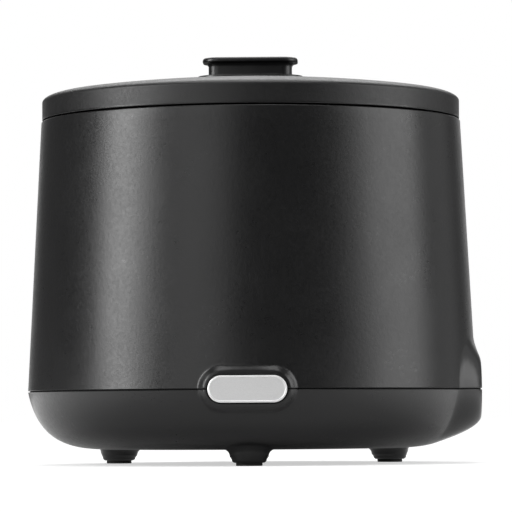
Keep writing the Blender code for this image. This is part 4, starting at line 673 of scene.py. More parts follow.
def lofted(name, rings, look, place=None):
    """A solid through rings of equal count, closed by its first and last ring."""
    work = bmesh.new()
    loops = [[work.verts.new(point) for point in ring] for ring in rings]
    bridged(work, loops)
    work.faces.new(loops[0])
    work.faces.new(loops[-1])
    return made(name, work, look, place)


def stadium_solid(name, straight, section, look, place=None, steps=20):
    """A solid through stadiums of (end radius, height)."""
    rings = [stadium(straight, radius, height, steps) for radius, height in section]
    return lofted(name, rings, look, place)


def carved(obj, cutters, operation="DIFFERENCE"):
    """Cuts or joins solids by exact Booleans, and leaves one plain mesh."""
    for cutter in cutters:
        modifier = obj.modifiers.new("cut", "BOOLEAN")
        modifier.operation = operation
        modifier.solver = "EXACT"
        modifier.object = cutter
    settle(obj)
    for cutter in cutters:
        bpy.data.objects.remove(cutter)
    return smoothed(obj)


def together(name, parts):
    """One object from several that stay apart, with their own finishes."""
    with bpy.context.temp_override(active_object=parts[0], selected_editable_objects=parts):
        bpy.ops.object.join()
    parts[0].name = name
    return parts[0]


def banded(obj, low, high, look):
    """Gives the faces that look away from the axis, between two heights, another finish."""
    mesh = obj.data
    mesh.materials.append(look)
    for face in mesh.polygons:
        away = Vector((face.center.x, face.center.y, 0.0)).normalized()
        if low < face.center.z < high and face.normal.dot(away) > 0.3:
            face.material_index = len(mesh.materials) - 1
    return obj


def fit(obj, body, slot, *nodes):
    """A finished piece: it rides on a body and stands for these nodes. The slot is not used."""
    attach(obj, body)
    if nodes:
        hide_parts(*nodes)
    return obj


# ---- housing ----


def upper_radius(height):
    return SEAM_RADIUS - TAPER * (height - SEAM_Z)


def bowl_width():
    share = (BOWL_CENTRE_Z - LOWER_SEAM_Z) / (BOWL_CENTRE_Z - BASE_Z)
    return (SEAM_RADIUS - BASE_FLAT_RADIUS) / (1 - share**BOWL_POWER) ** (1 / BOWL_POWER)


def bowl_radius(height):
    share = (BOWL_CENTRE_Z - height) / (BOWL_CENTRE_Z - BASE_Z)
    return BASE_FLAT_RADIUS + bowl_width() * max(1 - share**BOWL_POWER, 0.0) ** (1 / BOWL_POWER)


def bowl_height(radius):
    share = min(max(radius - BASE_FLAT_RADIUS, 0.0) / bowl_width(), 1.0)
    return BOWL_CENTRE_Z - (BOWL_CENTRE_Z - BASE_Z) * (1 - share**BOWL_POWER) ** (1 / BOWL_POWER)


def bowl_curve(top, step):
    """Points up the bowl's outer face from its flat, about a step apart."""
    radii = np.linspace(BASE_FLAT_RADIUS, bowl_radius(top), 2000)
    heights = np.array([bowl_height(radius) for radius in radii])
    run = np.concatenate([[0.0], np.cumsum(np.hypot(np.diff(radii), np.diff(heights)))])
    marks = np.linspace(0.0, run[-1], round(run[-1] / step) + 1)
    return list(zip(np.interp(marks, run, radii), np.interp(marks, run, heights)))


def column_angles():
    """Angles round the housing, close together across the pads and wider elsewhere."""
    angles = []
    for i in range(round(360 / FINE_STEP)):
        angle = i * FINE_STEP
        for azimuth, (straight, radius, blend) in PADS.items():
            away = abs((angle - azimuth + 180) % 360 - 180)
            reach = math.degrees(math.asin((straight + radius + blend) / upper_radius(SEAM_Z))) + 1
            if away < reach or i % PLAIN_SHARE == 0:
                angles.append(angle)
                break
    return angles


def housing(name, outline, look, closed):
    """A wall of (radius, height, inset) points turned round the axis and drawn out to both pads."""
    angles = column_angles()
    work = bmesh.new()
    layer = work.verts.layers.float.new("inset")
    rings = []
    for radius, height, depth in outline:
        rings.append(ring_of(work, radius, height, angles))
        for vert in rings[-1]:
            vert[layer] = depth
    bridged(work, rings, closed)
    shell = made(name, work)
    for azimuth, (straight, radius, blend) in PADS.items():
        sizes = {"straight": straight, "radius": radius, "blend": blend}
        grow(shell, pad_tree(), look, azimuth=azimuth, height=SEAM_Z, reach=PAD_REACH, **sizes)
    return settle(shell)


def at_depth(points, depth):
    """An outline's points, which lie this far behind the housing's outer face."""
    return [(*point, depth) for point in points]


def upper_outline():
    """The upper housing's section: up its face, over the rim, along the ledge and down inside."""
    low = UPPER_SEAM_Z + SEAM_ROUND
    levels = list(np.linspace(low, PAD_TOP_Z, round((PAD_TOP_Z - low) / PAD_ROW) + 1))
    levels += list(np.linspace(PAD_TOP_Z, RIM_Z - RIM_ROUND, 20)[1:])
    edge = arc(SEAM_RADIUS - SEAM_ROUND, low, SEAM_ROUND, -90, 0, 4)[:-1]
    points = [(radius, height, SEAM_RADIUS - radius) for radius, height in edge]
    points += at_depth([(upper_radius(height), height) for height in levels], 0.0)
    outer, inner, step = upper_radius(RIM_Z), RIM_INNER_RADIUS, LEDGE_INNER_RADIUS
    start, under, bottom = RIM_Z - 2 * RIM_ROUND, RIM_Z - WALL, LEDGE_Z - WALL
    corners = [(upper_radius(start), start), (outer, RIM_Z, RIM_ROUND)]
    corners += [(inner, RIM_Z, RIM_INNER_ROUND), (inner, LEDGE_Z, 0.0006)]
    corners += [(step, LEDGE_Z, 0.0004), (step, bottom)]
    corners += [(inner + WALL, bottom), (inner + WALL, under), (upper_radius(under) - WALL, under)]
    points += at_depth(rounded(corners)[2:], 0.0)
    shelf = LOWER_SEAM_Z + TONGUE_HEIGHT + GAP
    inside = [height for height in levels[::3] if shelf < height < bottom][::-1] + [shelf]
    points += at_depth([(upper_radius(height) - WALL, height) for height in inside], WALL)
    lip = [(upper_radius(shelf) - LIP_WALL, shelf), (SEAM_RADIUS - LIP_WALL, UPPER_SEAM_Z)]
    return points + at_depth(lip, LIP_WALL)


def lower_outline():
    """The lower housing's section: out under the floor, up the bowl and back down inside."""
    top = LOWER_SEAM_Z - SEAM_ROUND
    flat = [(radius, BASE_Z) for radius in (0.0, 0.04, 0.08)]
    points = at_depth(flat + bowl_curve(top, BOWL_STEP), 0.0)
    edge = arc(SEAM_RADIUS - SEAM_ROUND, top, SEAM_ROUND, 0, 90, 4)[1:]
    points += [(radius, height, SEAM_RADIUS - radius) for radius, height in edge]
    face, tip = LIP_WALL + GAP, LOWER_SEAM_Z + TONGUE_HEIGHT
    points += at_depth([(SEAM_RADIUS - face, LOWER_SEAM_Z), (upper_radius(tip) - face, tip)], face)
    inside = offset(bowl_curve(LOWER_SEAM_Z - TONGUE_ROOT, BOWL_INNER_STEP), WALL)[::-1]
    points += at_depth([(upper_radius(tip) - WALL, tip)] + inside, WALL)
    return points + at_depth([(0.04, FLOOR_Z), (0.0, FLOOR_Z)], 0.0)


def pad_cutters(look):
    """The badge's pocket, the panel's opening and the seat behind it: a stadium prism for each."""
    pocket, mouth = PLATE_RADIUS + PLATE_MARGIN, PANEL_RADIUS + PANEL_MARGIN
    cuts = (
        (FRONT_AZIMUTH, PLATE_STRAIGHT, pocket, PAD_REACH - PLATE_POCKET, CLEAR_REACH),
        (SIDE_AZIMUTH, PANEL_STRAIGHT, mouth, PANEL_BACK_X, CLEAR_REACH),
        (SIDE_AZIMUTH, PANEL_STRAIGHT, mouth + PANEL_FLANGE, PANEL_BACK_X, PANEL_SEAT_X),
    )
    cutters = []
    for azimuth, straight, radius, low, high in cuts:
        section, place = [(radius, low), (radius, high)], facing(azimuth)
        cutters.append(stadium_solid("pad_cutter", straight, section, look, place))
    return cutters


def foot_boss(look):
    """A foot's boss at azimuth 0, which flares into the bowl."""
    flare, low = BOSS_RADIUS + BOSS_FILLET, BOSS_BOTTOM_Z + BOSS_END_ROUND
    fillet = arc(flare, -BOSS_FILLET, BOSS_FILLET, 96, 180, 10)
    on_bowl = [(flare - WALL / 2, WALL / 2), (flare, GAP / 10)] + fillet
    end = arc(BOSS_END_RADIUS - BOSS_END_ROUND, low, BOSS_END_ROUND, -9, -90, 9)
    below = [(BOSS_END_RADIUS, low)] + end
    loops, centre = [], Vector((FOOT_CIRCLE_RADIUS, 0.0, 0.0))
    for i, (radius, height) in enumerate(on_bowl + below):
        ring = [polar(radius, 360 / BOSS_SIDES * side) + centre for side in range(BOSS_SIDES)]
        for point in ring:
            point.z = height + (bowl_height(point.length) if i < len(on_bowl) else 0.0)
        loops.append(ring)
    return lofted("foot_boss", loops, look)


def repeated(obj, look, count, start, step):
    """A shape repeated round Z."""
    return smoothed(settle(grow(obj, ring_tree(), look, count=count, start=start, step=step)))


def lower_housing(look, painted_seam_shade):
    """The bowl, with its foot bosses, vents and stud hole, and dull black down in the seam as
    painted shade.
    """
    shell = housing("housing_lower", lower_outline(), look, False)
    bosses = repeated(foot_boss(look), look, 3, FOOT_START, 120.0)
    carved(shell, [bosses], "UNION")
    section = [(VENT_WIDTH / 2, BASE_Z - WALL), (VENT_WIDTH / 2, BASE_Z + 2 * WALL)]
    across = Matrix.Rotation(math.radians(90), 4, "Z")
    place = Matrix.Translation((VENT_CIRCLE_RADIUS, 0.0, 0.0)) @ across
    slot = stadium_solid("vent", (VENT_LENGTH - VENT_WIDTH) / 2, section, look, place, 8)
    vents = repeated(slot, look, 6, 0.0, 60.0)
    stud = cylinder("stud_hole", STUD_HOLE_RADIUS, BASE_Z - WALL, FLOOR_Z + WALL, look)
    carved(shell, pad_cutters(look) + [vents, stud])
    # Painted shade: the faces in the joint take the dull, weakly reflecting black.
    banded(shell, LOWER_SEAM_Z, LOWER_SEAM_Z + TONGUE_HEIGHT, painted_seam_shade)
    return fit(shell, "root", "black_plastic", "base_shell")


def upper_housing(look):
    """The cone, with its rim and ledge, and a spotface and a hole for the gland."""
    shell = housing("housing_upper", upper_outline(), look, True)
    at_gland = facing(BACK_AZIMUTH, GLAND_Z)
    flat = cylinder("flat", GLAND_FLANGE_RADIUS + GAP, GLAND_SEAT_Y, CLEAR_REACH, look, at_gland)
    back = GLAND_SEAT_Y - 3 * WALL
    hole = cylinder("hole", GLAND_NECK_RADIUS + GAP, back, CLEAR_REACH, look, at_gland)
    carved(shell, pad_cutters(look) + [flat, hole])
    return fit(shell, "root", "black_plastic", "outer_shell")


# ---- pieces on the housing ----


def badge(satin, bright):
    """The bare plate: a satin field inside a bevelled rim, whose lighter tone is partly a painted
    highlight.
    """
    back, front = PAD_REACH - PLATE_POCKET + GAP, PAD_REACH + PLATE_PROUD
    inner = PLATE_RADIUS - PLATE_BEVEL - PLATE_RIM
    corners = [(PLATE_RADIUS, back), (PLATE_RADIUS, front - PLATE_BEVEL / 2, 0.0002)]
    corners += [(PLATE_RADIUS - PLATE_BEVEL, front, 0.0004), (inner, front, 0.0003)]
    section = rounded(corners + [(inner - PLATE_FIELD_DEPTH, front - PLATE_FIELD_DEPTH)])
    plate = stadium_solid("badge", PLATE_STRAIGHT, section, satin, facing(FRONT_AZIMUTH), 40)
    # The bevel's faces take the lighter finish: partly cut metal, partly a painted highlight.
    plate.data.materials.append(bright)
    for face in plate.data.polygons:
        face.material_index = 1 if len(face.vertices) == 4 else 0
    return fit(plate, "root", "badge_metal", "badge_plate")


def feet(look):
    """Three rubber feet, ringed underneath for grip and pressed against their bosses."""
    top = FOOT_THICKNESS + GAP
    outline = [(0.0, 0.0)]
    for i in range(FOOT_GROOVES):
        middle = FOOT_GROOVE_RADIUS + FOOT_GROOVE_STEP * i
        outline += [(middle - FOOT_GROOVE, 0.0), (middle, 0.0003), (middle + FOOT_GROOVE, 0.0)]
    edge = [(0.008, 0.0), (FOOT_RADIUS, 0.0, FOOT_ROUND), (FOOT_RADIUS, top, 0.0001), (0.0, top)]
    outline += rounded(edge)[1:]
    foot = turned("feet", outline, look, 64, Matrix.Translation((FOOT_CIRCLE_RADIUS, 0.0, 0.0)))
    repeated(foot, look, 3, FOOT_START, 120.0)
    return fit(foot, "root", "black_rubber", "foot_pad_front", "foot_pad_left", "foot_pad_right")


def control_panel(look, ink):
    """The dish in the side pad, with a rounded lip and a flange behind the housing's wall."""
    outer, inner = PANEL_RADIUS, PANEL_RADIUS - PANEL_WALL
    flange, flange_front = outer + PANEL_FLANGE, PANEL_SEAT_X - GAP
    flange_back = flange_front - PANEL_FLANGE_WALL
    corners = [(outer - PANEL_DRAFT, PANEL_BACK_X), (outer - PANEL_DRAFT / 2, flange_back)]
    corners += [(flange, flange_back), (flange, flange_front), (outer, flange_front)]
    corners += [(outer, PANEL_FRONT_X, 0.0005), (inner, PANEL_FRONT_X, 0.0007)]
    corners += [(inner - 2 * PANEL_DRAFT, PANEL_FLOOR_X, 0.0020), (0.004, PANEL_FLOOR_X)]
    section = rounded(corners)
    dish = stadium_solid("control_dish", PANEL_STRAIGHT, section, look, facing(SIDE_AZIMUTH), 32)
    low, high = PANEL_BACK_X - WALL, PANEL_FLOOR_X + WALL
    holes = (BUSH_HOLE_RADIUS, 0.0), (LAMP_HOLE_RADIUS, LAMP_Y)
    places = [(radius, facing(SIDE_AZIMUTH, y=y)) for radius, y in holes]
    carved(dish, [cylinder("hole", radius, low, high, look, place) for radius, place in places])
    fit(dish, "root", "black_plastic", "control_panel")
    return fit(dial_marks(ink), "root", "pointer_white")


def dial_marks(ink):
    """Printed marks round the knob: ten lines from the off position on, and a dot at off."""
    near, half = KNOB_RADIUS + DIAL_GAP, DIAL_MARK_WIDTH / 2
    far = near + DIAL_MARK_LENGTH
    foot = [(near, -half), (far, -half), (far, half), (near, half)]
    lines = lofted("dial_marks", [[(x, y, z) for x, y in foot] for z in (0.0, DIAL_INK)], ink)
    repeated(lines, ink, 10, -45.0, 30.0)
    beside = Matrix.Translation((DIAL_DOT_Y, 0.0, 0.0))
    dot = cylinder("dot", DIAL_DOT_RADIUS, 0.0, DIAL_INK, ink, beside, 24)
    marks = together("dial_marks", [lines, dot])
    marks.data.transform(facing(SIDE_AZIMUTH, x=PANEL_FLOOR_X))
    return marks


def lamp(look):
    """The pilot lamp's domed lens."""
    cap, wide = PANEL_FLOOR_X + GAP, LAMP_CAP_RADIUS
    top, back = cap + LAMP_CAP_HEIGHT, cap - LAMP_LENGTH
    corners = [(0.0, back), (LAMP_RADIUS, back, 0.0004), (LAMP_RADIUS, cap)]
    corners += [(wide, cap, 0.0001), (wide, cap + LAMP_CAP_HEIGHT * 0.7, 0.0006)]
    corners += [(wide * 0.55, top, 0.0012), (0.0, top)]
    lens = turned("lamp", rounded(corners), look, 96, facing(SIDE_AZIMUTH, y=LAMP_Y))
    return fit(lens, "root", "lamp_red", "lamp_lens")


def gland(look):
    """The rubber bush for the mains cord, with a rolled flange."""
    seat = GLAND_SEAT_Y + GAP
    front, back = seat + GLAND_FLANGE, seat + GLAND_FLANGE - GLAND_LENGTH
    bore, neck, flange = GLAND_BORE_RADIUS, GLAND_NECK_RADIUS, GLAND_FLANGE_RADIUS
    corners = [(bore, back, 0.0006), (neck, back, 0.0010), (neck, seat), (flange, seat)]
    corners += [(flange, front, 0.0010), (bore, front, 0.0010)]
    bush = turned("gland", rounded(corners, True), look, 96, facing(BACK_AZIMUTH, GLAND_Z))
    return fit(bush, "root", "black_rubber", "cord_gland")


# ---- well and pot ----


def pressing(top_radius, bottom_radius, corner, floor, top, flange, lip):
    """A deep pressing's wall: from its flange down the inner face to the axis, and back outside."""
    inside = [(flange, top), (top_radius, top, lip), (bottom_radius, floor, corner), (0.0, floor)]
    inside = rounded(inside, steps=14)
    outside = offset(inside, STEEL)[::-1]
    outside[0] = (0.0, floor - STEEL)
    return inside + outside


def well(look):
    sides = WELL_TOP_RADIUS, WELL_BOTTOM_RADIUS, WELL_CORNER, WELL_FLOOR_Z, WELL_TOP_Z
    shell = turned("steel_well", pressing(*sides, WELL_FLANGE_RADIUS, WELL_LIP), look)
    return fit(shell, "root", "stainless", "water_well")


def well_screws(look):
    """Three cross-recessed pan heads on the well's flange."""
    seat, wide, thin = WELL_TOP_Z + GAP, WELL_SCREW_HEAD_RADIUS, WELL_SCREW_RADIUS
    low, top = seat - WELL_SCREW_LENGTH, seat + WELL_SCREW_HEAD
    head = [(0.0, low), (thin, low, 0.0008), (thin, seat), (wide, seat, 0.0001)]
    head += [(wide, top, 0.0012), (0.0, top)]
    place = Matrix.Translation((WELL_SCREW_CIRCLE_RADIUS, 0.0, 0.0))
    screw = turned("well_screws", rounded(head, steps=6), look, 48, place)
    recess = [(0.0002, seat + 0.0006), (0.0004, seat + 0.0022)]
    turns = [place @ Matrix.Rotation(math.radians(turn), 4, "Z") for turn in (45, 135)]
    carved(screw, [stadium_solid("cross", 0.0010, recess, look, turn, 4) for turn in turns])
    repeated(screw, look, 3, 45.0, 120.0)
    return fit(screw, "root", "stainless", "well_screw_1", "well_screw_2", "well_screw_3")


def pot(look):
    """The lift-out pot with its rolled bead."""
    sides = POT_TOP_RADIUS, POT_BOTTOM_RADIUS, POT_CORNER, POT_FLOOR_Z, POT_TOP_Z
    wall = pressing(*sides, POT_FLANGE_RADIUS, POT_LIP)
    bead = arc(POT_FLANGE_RADIUS + POT_BEAD_RADIUS, POT_BEAD_Z, POT_BEAD_RADIUS, -150, 150, 16)
    return fit(turned("lift_out_pot", wall + bead, look), "pot", "stainless", "soup_pot")


# ---- lid ----


def dome_height(radius):
    return DOME_Z - DOME_RISE * (radius / DOME_EDGE) ** 2


def shoulder(inset):
    """Points from the dome's edge over the shoulder to the skirt, inset from the outer face."""
    base = DOME_EDGE_Z - SHOULDER_RISE * math.sin(math.radians(SHOULDER_END))
    across, up = SHOULDER_WIDTH - inset, SHOULDER_RISE - inset
    middle, curve = LID_RADIUS - SHOULDER_WIDTH, arc(0.0, 0.0, 1.0, SHOULDER_END, 0, 32)
    return [(middle + across * x, base + up * y) for x, y in curve]


def lid(look, edge):
    """The lid's shell: a low skirt, a soft shoulder and a shallow dome."""
    inner = LID_RADIUS - LID_WALL
    marks = [DOME_EDGE * i / DOME_STEPS for i in range(DOME_STEPS)]
    outside = [(mark, dome_height(mark)) for mark in marks] + shoulder(0.0)
    outside.append((LID_RADIUS, LID_LAND_Z))
    outside += arc(LID_RADIUS - LID_EDGE_ROUND, LID_Z + LID_EDGE_ROUND, LID_EDGE_ROUND, 0, -90, 5)
    rib = inner - RIB_DEPTH
    rib_top = RIB_Z + RIB_HEIGHT
    inside = [(inner, LID_Z), (inner, RIB_Z), (rib, RIB_Z), (rib, rib_top), (inner, rib_top)]
    under = [(mark, dome_height(mark) - LID_WALL) for mark in marks] + shoulder(LID_WALL)
    shell = turned("lid", outside + inside + under[::-1], look, closed=False)
    banded(shell, LID_Z, LID_LAND_Z + GAP, edge)
    return fit(shell, "lid", "black_plastic", "lid_shell")


def liner(look):
    """The lid's inner wall, with a plug that drops into the pot."""
    outer, plug, low = LID_RADIUS - LID_WALL - GAP, LINER_PLUG_RADIUS, LINER_BOTTOM_Z
    drop = LINER_FLANGE_Z - LINER_LAND_Z
    corners = [(0.0, low + LINER_CROWN), (plug / 2, low + LINER_CROWN * 0.7, 0.12)]
    corners += [(plug - 2 * LINER_PLUG_ROUND, low, 0.004), (plug, low, 0.0028)]
    corners += [(plug, LINER_LAND_Z, 0.0006), (LINER_STEP_RADIUS - drop, LINER_LAND_Z, 0.0008)]
    corners += [(LINER_STEP_RADIUS, LINER_FLANGE_Z, 0.0008), (outer, LINER_FLANGE_Z)]
    path = rounded(corners)
    inside = offset(path, LINER_WALL)
    inside[0] = (0.0, inside[0][1])
    wall = turned("liner", path + inside[::-1], look, closed=False)
    return fit(wall, "lid", "black_plastic", "lid_liner")


def lid_gasket(look):
    """The silicone ring between the liner and the pot's flange."""
    low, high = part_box("lid_seal")[0].z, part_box("lid_seal")[1].z
    inner, outer = POT_TOP_RADIUS + SEAL_INNER_GAP, POT_FLANGE_RADIUS - SEAL_OUTER_GAP
    corners = [(inner, low, 0.0006), (outer, low, 0.0006)]
    corners += [(outer, high, 0.0003), (inner, high, 0.0003)]
    return fit(turned("lid_gasket", rounded(corners, True), look), "lid", "silicone", "lid_seal")


def handle_foot(look):
    """The plate under the handle, whose rim follows the dome."""
    radius, over, top = HANDLE_PLATE_RADIUS, HANDLE_PLATE_ROUND, HANDLE_PLATE_TOP_Z
    inner = radius - HANDLE_PLATE_LAND

    def ring(ring_radius, height):
        return stadium(HANDLE_PLATE_STRAIGHT, ring_radius, height, 32)

    def on_dome(ring_radius):
        return [Vector((p.x, p.y, dome_height(p.length) + GAP)) for p in ring(ring_radius, 0.0)]

    rings = [ring(inner, DOME_Z + 2 * GAP), on_dome(inner), on_dome(radius)]
    rings += [ring(*point) for point in arc(radius - over, top - over, over, 0, 90, 8)]
    return fit(lofted("handle_foot", rings, look), "lid", "black_plastic", "handle_plate")


def handle(look):
    """The neck, filleted out to a thin overhanging grip with flat ends and round corners."""
    low, top = HANDLE_PLATE_TOP_Z + GAP, HANDLE_TOP_Z
    under, crown = top - GRIP_THICKNESS, top - GRIP_CROWN
    section = [(NECK_RADIUS, low)]
    section += arc(NECK_RADIUS + NECK_FILLET, under - NECK_FILLET, NECK_FILLET, 180, 90, 10)
    section += arc(GRIP_RADIUS - GRIP_ROUND, under + GRIP_ROUND, GRIP_ROUND, -90, 0, 6)
    section += arc(GRIP_RADIUS - GRIP_TOP_ROUND, crown - GRIP_TOP_ROUND, GRIP_TOP_ROUND, 0, 84, 10)
    crowned = ((0.7, 0.6), (0.5, 0.24), (0.2, 0.0))
    section += [(GRIP_RADIUS * share, top - GRIP_CROWN * fall) for share, fall in crowned]
    rings = []
    for radius, height in section:
        corner = max(radius - NECK_RADIUS + NECK_CORNER, radius * 0.4)
        rings.append(stadium(NECK_STRAIGHT, radius, height, 16, corner))
    return fit(lofted("handle", rings, look), "lid", "black_plastic", "lid_handle")


# ---- knob ----


def knob(look, ink):
    """A fluted skirt with an upright grip bar and a white pointer."""
    place, skirt = facing(SIDE_AZIMUTH, x=KNOB_X), KNOB_SKIRT
    outline = [(0.0, KNOB_RECESS), (KNOB_RECESS_RADIUS, KNOB_RECESS)]
    outline += [(KNOB_RECESS_RADIUS, 0.0, 0.0003), (KNOB_RADIUS, 0.0, 0.0003)]
    outline += [(KNOB_RADIUS, skirt, KNOB_ROUND), (0.0050, skirt + KNOB_ROUND * 0.6, 0.004)]
    body = turned("knob_grip", rounded(outline + [(0.0, skirt + KNOB_ROUND)]), look, 180)
    wide, top = KNOB_BAR_RADIUS, KNOB_HEIGHT
    bar = [(wide + 0.0010, 0.0036), (wide + 0.0004, skirt + 0.0004, 0.0010)]
    bar = rounded(bar + [(wide - 0.0004, top, 0.0010), (wide - 0.0018, top)])
    upright = Matrix.Rotation(math.radians(90), 4, "Z")
    carved(body, [stadium_solid("knob_bar", KNOB_BAR_STRAIGHT, bar, look, upright, 20)], "UNION")
    beside = Matrix.Translation((KNOB_RADIUS + KNOB_FLUTE_OUT, 0.0, 0.0))
    flute = cylinder("flute", KNOB_FLUTE_RADIUS, -0.001, skirt + 0.001, look, beside, 12)
    flutes = repeated(flute, look, KNOB_FLUTES, 0.0, 360 / KNOB_FLUTES)
    end, deep = KNOB_BAR_STRAIGHT + KNOB_BAR_RADIUS / 3, top - POINTER_DEPTH
    start = end - POINTER_LENGTH
    wide = POINTER_WIDTH + 2 * GAP
    slot = block("slot", wide, start - GAP, end + GAP, deep - GAP, top + GAP, look)
    bore = cylinder("bore", KNOB_BORE_RADIUS, -0.001, KNOB_BORE_DEPTH, look, None, 48)
    carved(body, [flutes, slot, bore])
    fit(body, "knob", "black_plastic", "knob")
    pointer = block("pointer", POINTER_WIDTH, start, end, deep, top, ink, 0.0002)
    for piece in (body, pointer):
        piece.data.transform(place)
    return fit(pointer, "knob", "pointer_white", "knob_pointer")


def block(name, width, low_y, high_y, low_z, high_z, look, bevel=None):
    """A bar along Y, with its upper long edges rounded where it has a bevel."""
    half, bevels = width / 2, (bevel,) if bevel else ()
    corners = [(-half, low_z), (half, low_z), (half, high_z, *bevels), (-half, high_z, *bevels)]
    outline = rounded(corners, True, 3)
    return lofted(name, [[(x, y, z) for x, z in outline] for y in (low_y, high_y)], look)


# ---- fittings inside ----


def tube(name, points, radius, look, sides=20):
    """A round tube along a line of points."""
    mesh = bpy.data.meshes.new(name)
    edges = [(i, i + 1) for i in range(len(points) - 1)]
    mesh.from_pydata([tuple(point) for point in points], edges, [])
    obj = grow(shown(name, mesh, look), tube_tree(), look, radius=radius, sides=sides)
    return smoothed(settle(obj), 50.0)


def heater_tube(look):
    """The heating ring, with both ends turned down through the reflector."""
    circle, bend, start = HEATER_CIRCLE_RADIUS, HEATER_BEND, HEATER_START
    turn = math.degrees(bend / circle)
    tail = [polar(circle, start, HEATER_Z - HEATER_DROP)]
    for across, up in arc(0.0, 0.0, 1.0, 180, 90, 8):
        tail.append(polar(circle, start + turn * (1 + across), HEATER_Z - bend * (1 - up)))
    span = 360 - 2 * (start + turn)
    points = tail + [polar(circle, start + turn + span * i / 96, HEATER_Z) for i in range(1, 96)]
    points += [Vector((point.x, -point.y, point.z)) for point in reversed(tail)]
    ring = tube("heater_tube", points, HEATER_RADIUS, look)
    return fit(ring, "root", "stainless", "heating_ring")


# ---- stage ----


def floor():
    """A white table that keeps soft shadows, on a floor that only the camera sees as white. Behind
    and beside the kettle the floor also glows for glossy rays only: a painted reflection in the
    bowl.
    """
    mesh = bpy.data.meshes.new("floor")
    signs = (-1, -1), (1, -1), (1, 1), (-1, 1)
    corners = [(x * FLOOR_REACH, y * FLOOR_REACH, 0.0) for x, y in signs]
    mesh.from_pydata(corners, [], [(0, 1, 2, 3)])
    look = bpy.data.materials.new("white_floor")
    look.use_nodes = True
    look.node_tree.nodes.clear()
    tree = Tree(look.node_tree)
    rays, seen = tree.rays()
    place = tree.node("ShaderNodeTexCoord").outputs["Object"]
    near = tree.remap(tree.vector("LENGTH", place), 0.5, 1.1, 1.0, 0.0, "SMOOTHSTEP")
    matt = tree.node("ShaderNodeBsdfDiffuse", {"Color": tree.mix(near, 0.05, 0.53)})
    white = tree.times(seen, tree.remap(near, 0.0, 1.0, 1.0, 0.56))
    # Painted reflection: near the kettle, behind and beside it, the floor glows for glossy rays
    # only, so the bowl mirrors a bright floor.
    parts = tree.parts(place)
    behind = tree.remap(parts["Y"], -0.1, 0.4, 0.0, 0.9)
    beside = tree.remap(tree.math("ABSOLUTE", parts["X"]), 0.15, 0.45, 0.0, 1.0)
    around = tree.times(near, tree.math("MAXIMUM", behind, beside))
    painted_reflection = tree.times(rays["Is Glossy Ray"], around)
    glow = tree.node("ShaderNodeEmission", {"Strength": tree.add(white, painted_reflection)})
    both = tree.node("ShaderNodeAddShader", {0: matt.outputs[0], 1: glow.outputs[0]})
    tree.node("ShaderNodeOutputMaterial", {"Surface": both.outputs[0]})
    shown("floor", mesh, look)


def surroundings():
    """A dim room with a white sweep straight behind. The camera sees white all round."""
    world = bpy.data.worlds.new("studio")
    bpy.context.scene.world = world
    world.use_nodes = True
    tree = Tree(world.node_tree)
    way = tree.node("ShaderNodeTexCoord").outputs["Generated"]
    level_way = tree.vector("NORMALIZE", tree.vector("MULTIPLY", way, (1.0, 1.0, 0.0)))
    sweep = tree.remap(tree.parts(level_way)[1], 0.88, 0.985, 0.10, 0.9, "SMOOTHSTEP")
    rays, seen = tree.rays()
    level = tree.blend(seen, tree.blend(rays["Is Glossy Ray"], 0.50, sweep), 1.0)
    shader = world.node_tree.nodes["Background"]
    shader.inputs["Color"].default_value = (1.0, 1.0, 1.0, 1.0)
    tree.tree.links.new(level, shader.inputs["Strength"])


def softbox(name, azimuth, width, power, *own):
    """A rectangular lamp at an azimuth from the front, turned towards the kettle."""
    distance, height, tall, aim = own + BOX_PLACE[len(own) :]
    lamp_data = bpy.data.lights.new(name, "AREA")
    lamp_data.shape = "RECTANGLE"
    lamp_data.size, lamp_data.size_y = width, tall
    lamp_data.energy = power
    holder = shown(name, lamp_data)
    holder.location = polar(distance, FRONT_AZIMUTH + azimuth, height)
    turn = (Vector((0.0, 0.0, aim)) - holder.location).to_track_quat("-Z", "Y")
    holder.rotation_euler = turn.to_euler()


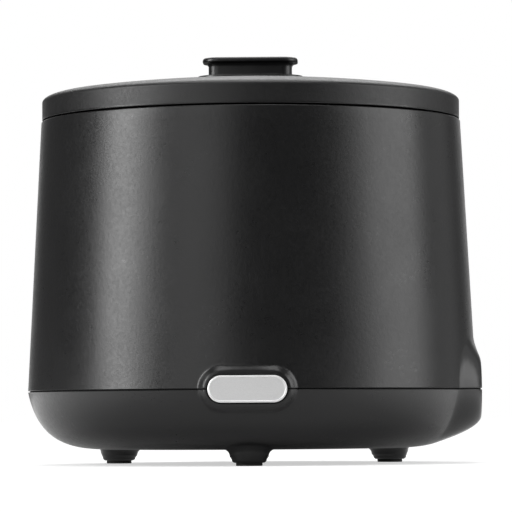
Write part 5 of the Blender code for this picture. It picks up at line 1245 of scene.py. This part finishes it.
def camera():
    """A long lens almost at table height, a little to the right of the front."""
    lens = bpy.data.cameras.new("view")
    lens.lens, lens.sensor_width = CAMERA_LENS, 36.0
    lens.clip_end = 100.0
    holder = shown("view", lens)
    place = polar(CAMERA_DISTANCE, FRONT_AZIMUTH + CAMERA_AZIMUTH, CAMERA_HEIGHT)
    right = polar(AIM_RIGHT, FRONT_AZIMUTH + CAMERA_AZIMUTH + 90)
    aim = right + Vector((0.0, 0.0, AIM_HEIGHT))
    look = (aim - place).to_track_quat("-Z", "Y")
    roll = Matrix.Rotation(math.radians(CAMERA_ROLL), 4, "Z")
    holder.matrix_world = Matrix.Translation(place) @ look.to_matrix().to_4x4() @ roll
    bpy.context.scene.camera = holder


def dress_solids(looks):
    """Gives every solid that is still shown the finish of its slot."""
    slots = {entry["node"]: entry["material_slot"] for entry in frame["record"]["subparts"]}
    for name, node in frame["nodes"].items():
        if not node.hide_render:
            node.data.materials.clear()
            node.data.materials.append(looks[slots[name]])


def main():
    black, gloss_black = satin_black("satin_black", 0.26, 0.38, 0.000065), smooth_black()
    lid_black = satin_black("lid_black", 0.38, 0.51, 0.00008)
    silver, rubber, steel = badge_silver(), foot_rubber(), spun_steel()
    silicone, nylon, lens, ink = milky_silicone(), cream_nylon(), red_lens(), white_ink()
    looks = {
        "black_plastic": gloss_black,
        "badge_metal": silver,
        "black_rubber": rubber,
        "stainless": steel,
        "aluminium": turned_aluminium(),
        "zinc": zinc_plate(),
        "silicone": silicone,
        "glass_fibre": glass_cloth(),
        "pale_nylon": nylon,
        "lamp_red": lens,
        "pointer_white": ink,
        "brass": drawn_brass(),
    }
    lower_housing(black, joint_black())
    upper_housing(black)
    badge(silver, bright_bevel())
    feet(rubber)
    control_panel(gloss_black, ink)
    lamp(lens)
    gland(rubber)
    well(steel)
    well_screws(steel)
    pot(steel)
    lid(lid_black, black)
    liner(gloss_black)
    lid_gasket(silicone)
    handle_foot(gloss_black)
    handle(gloss_black)
    knob(gloss_black, ink)
    heater_tube(steel)
    dress_solids(looks)
    floor()
    surroundings()
    for box in SOFTBOXES:
        softbox(*box)
    camera()
    bpy.context.scene.view_settings.view_transform = "Standard"


main()
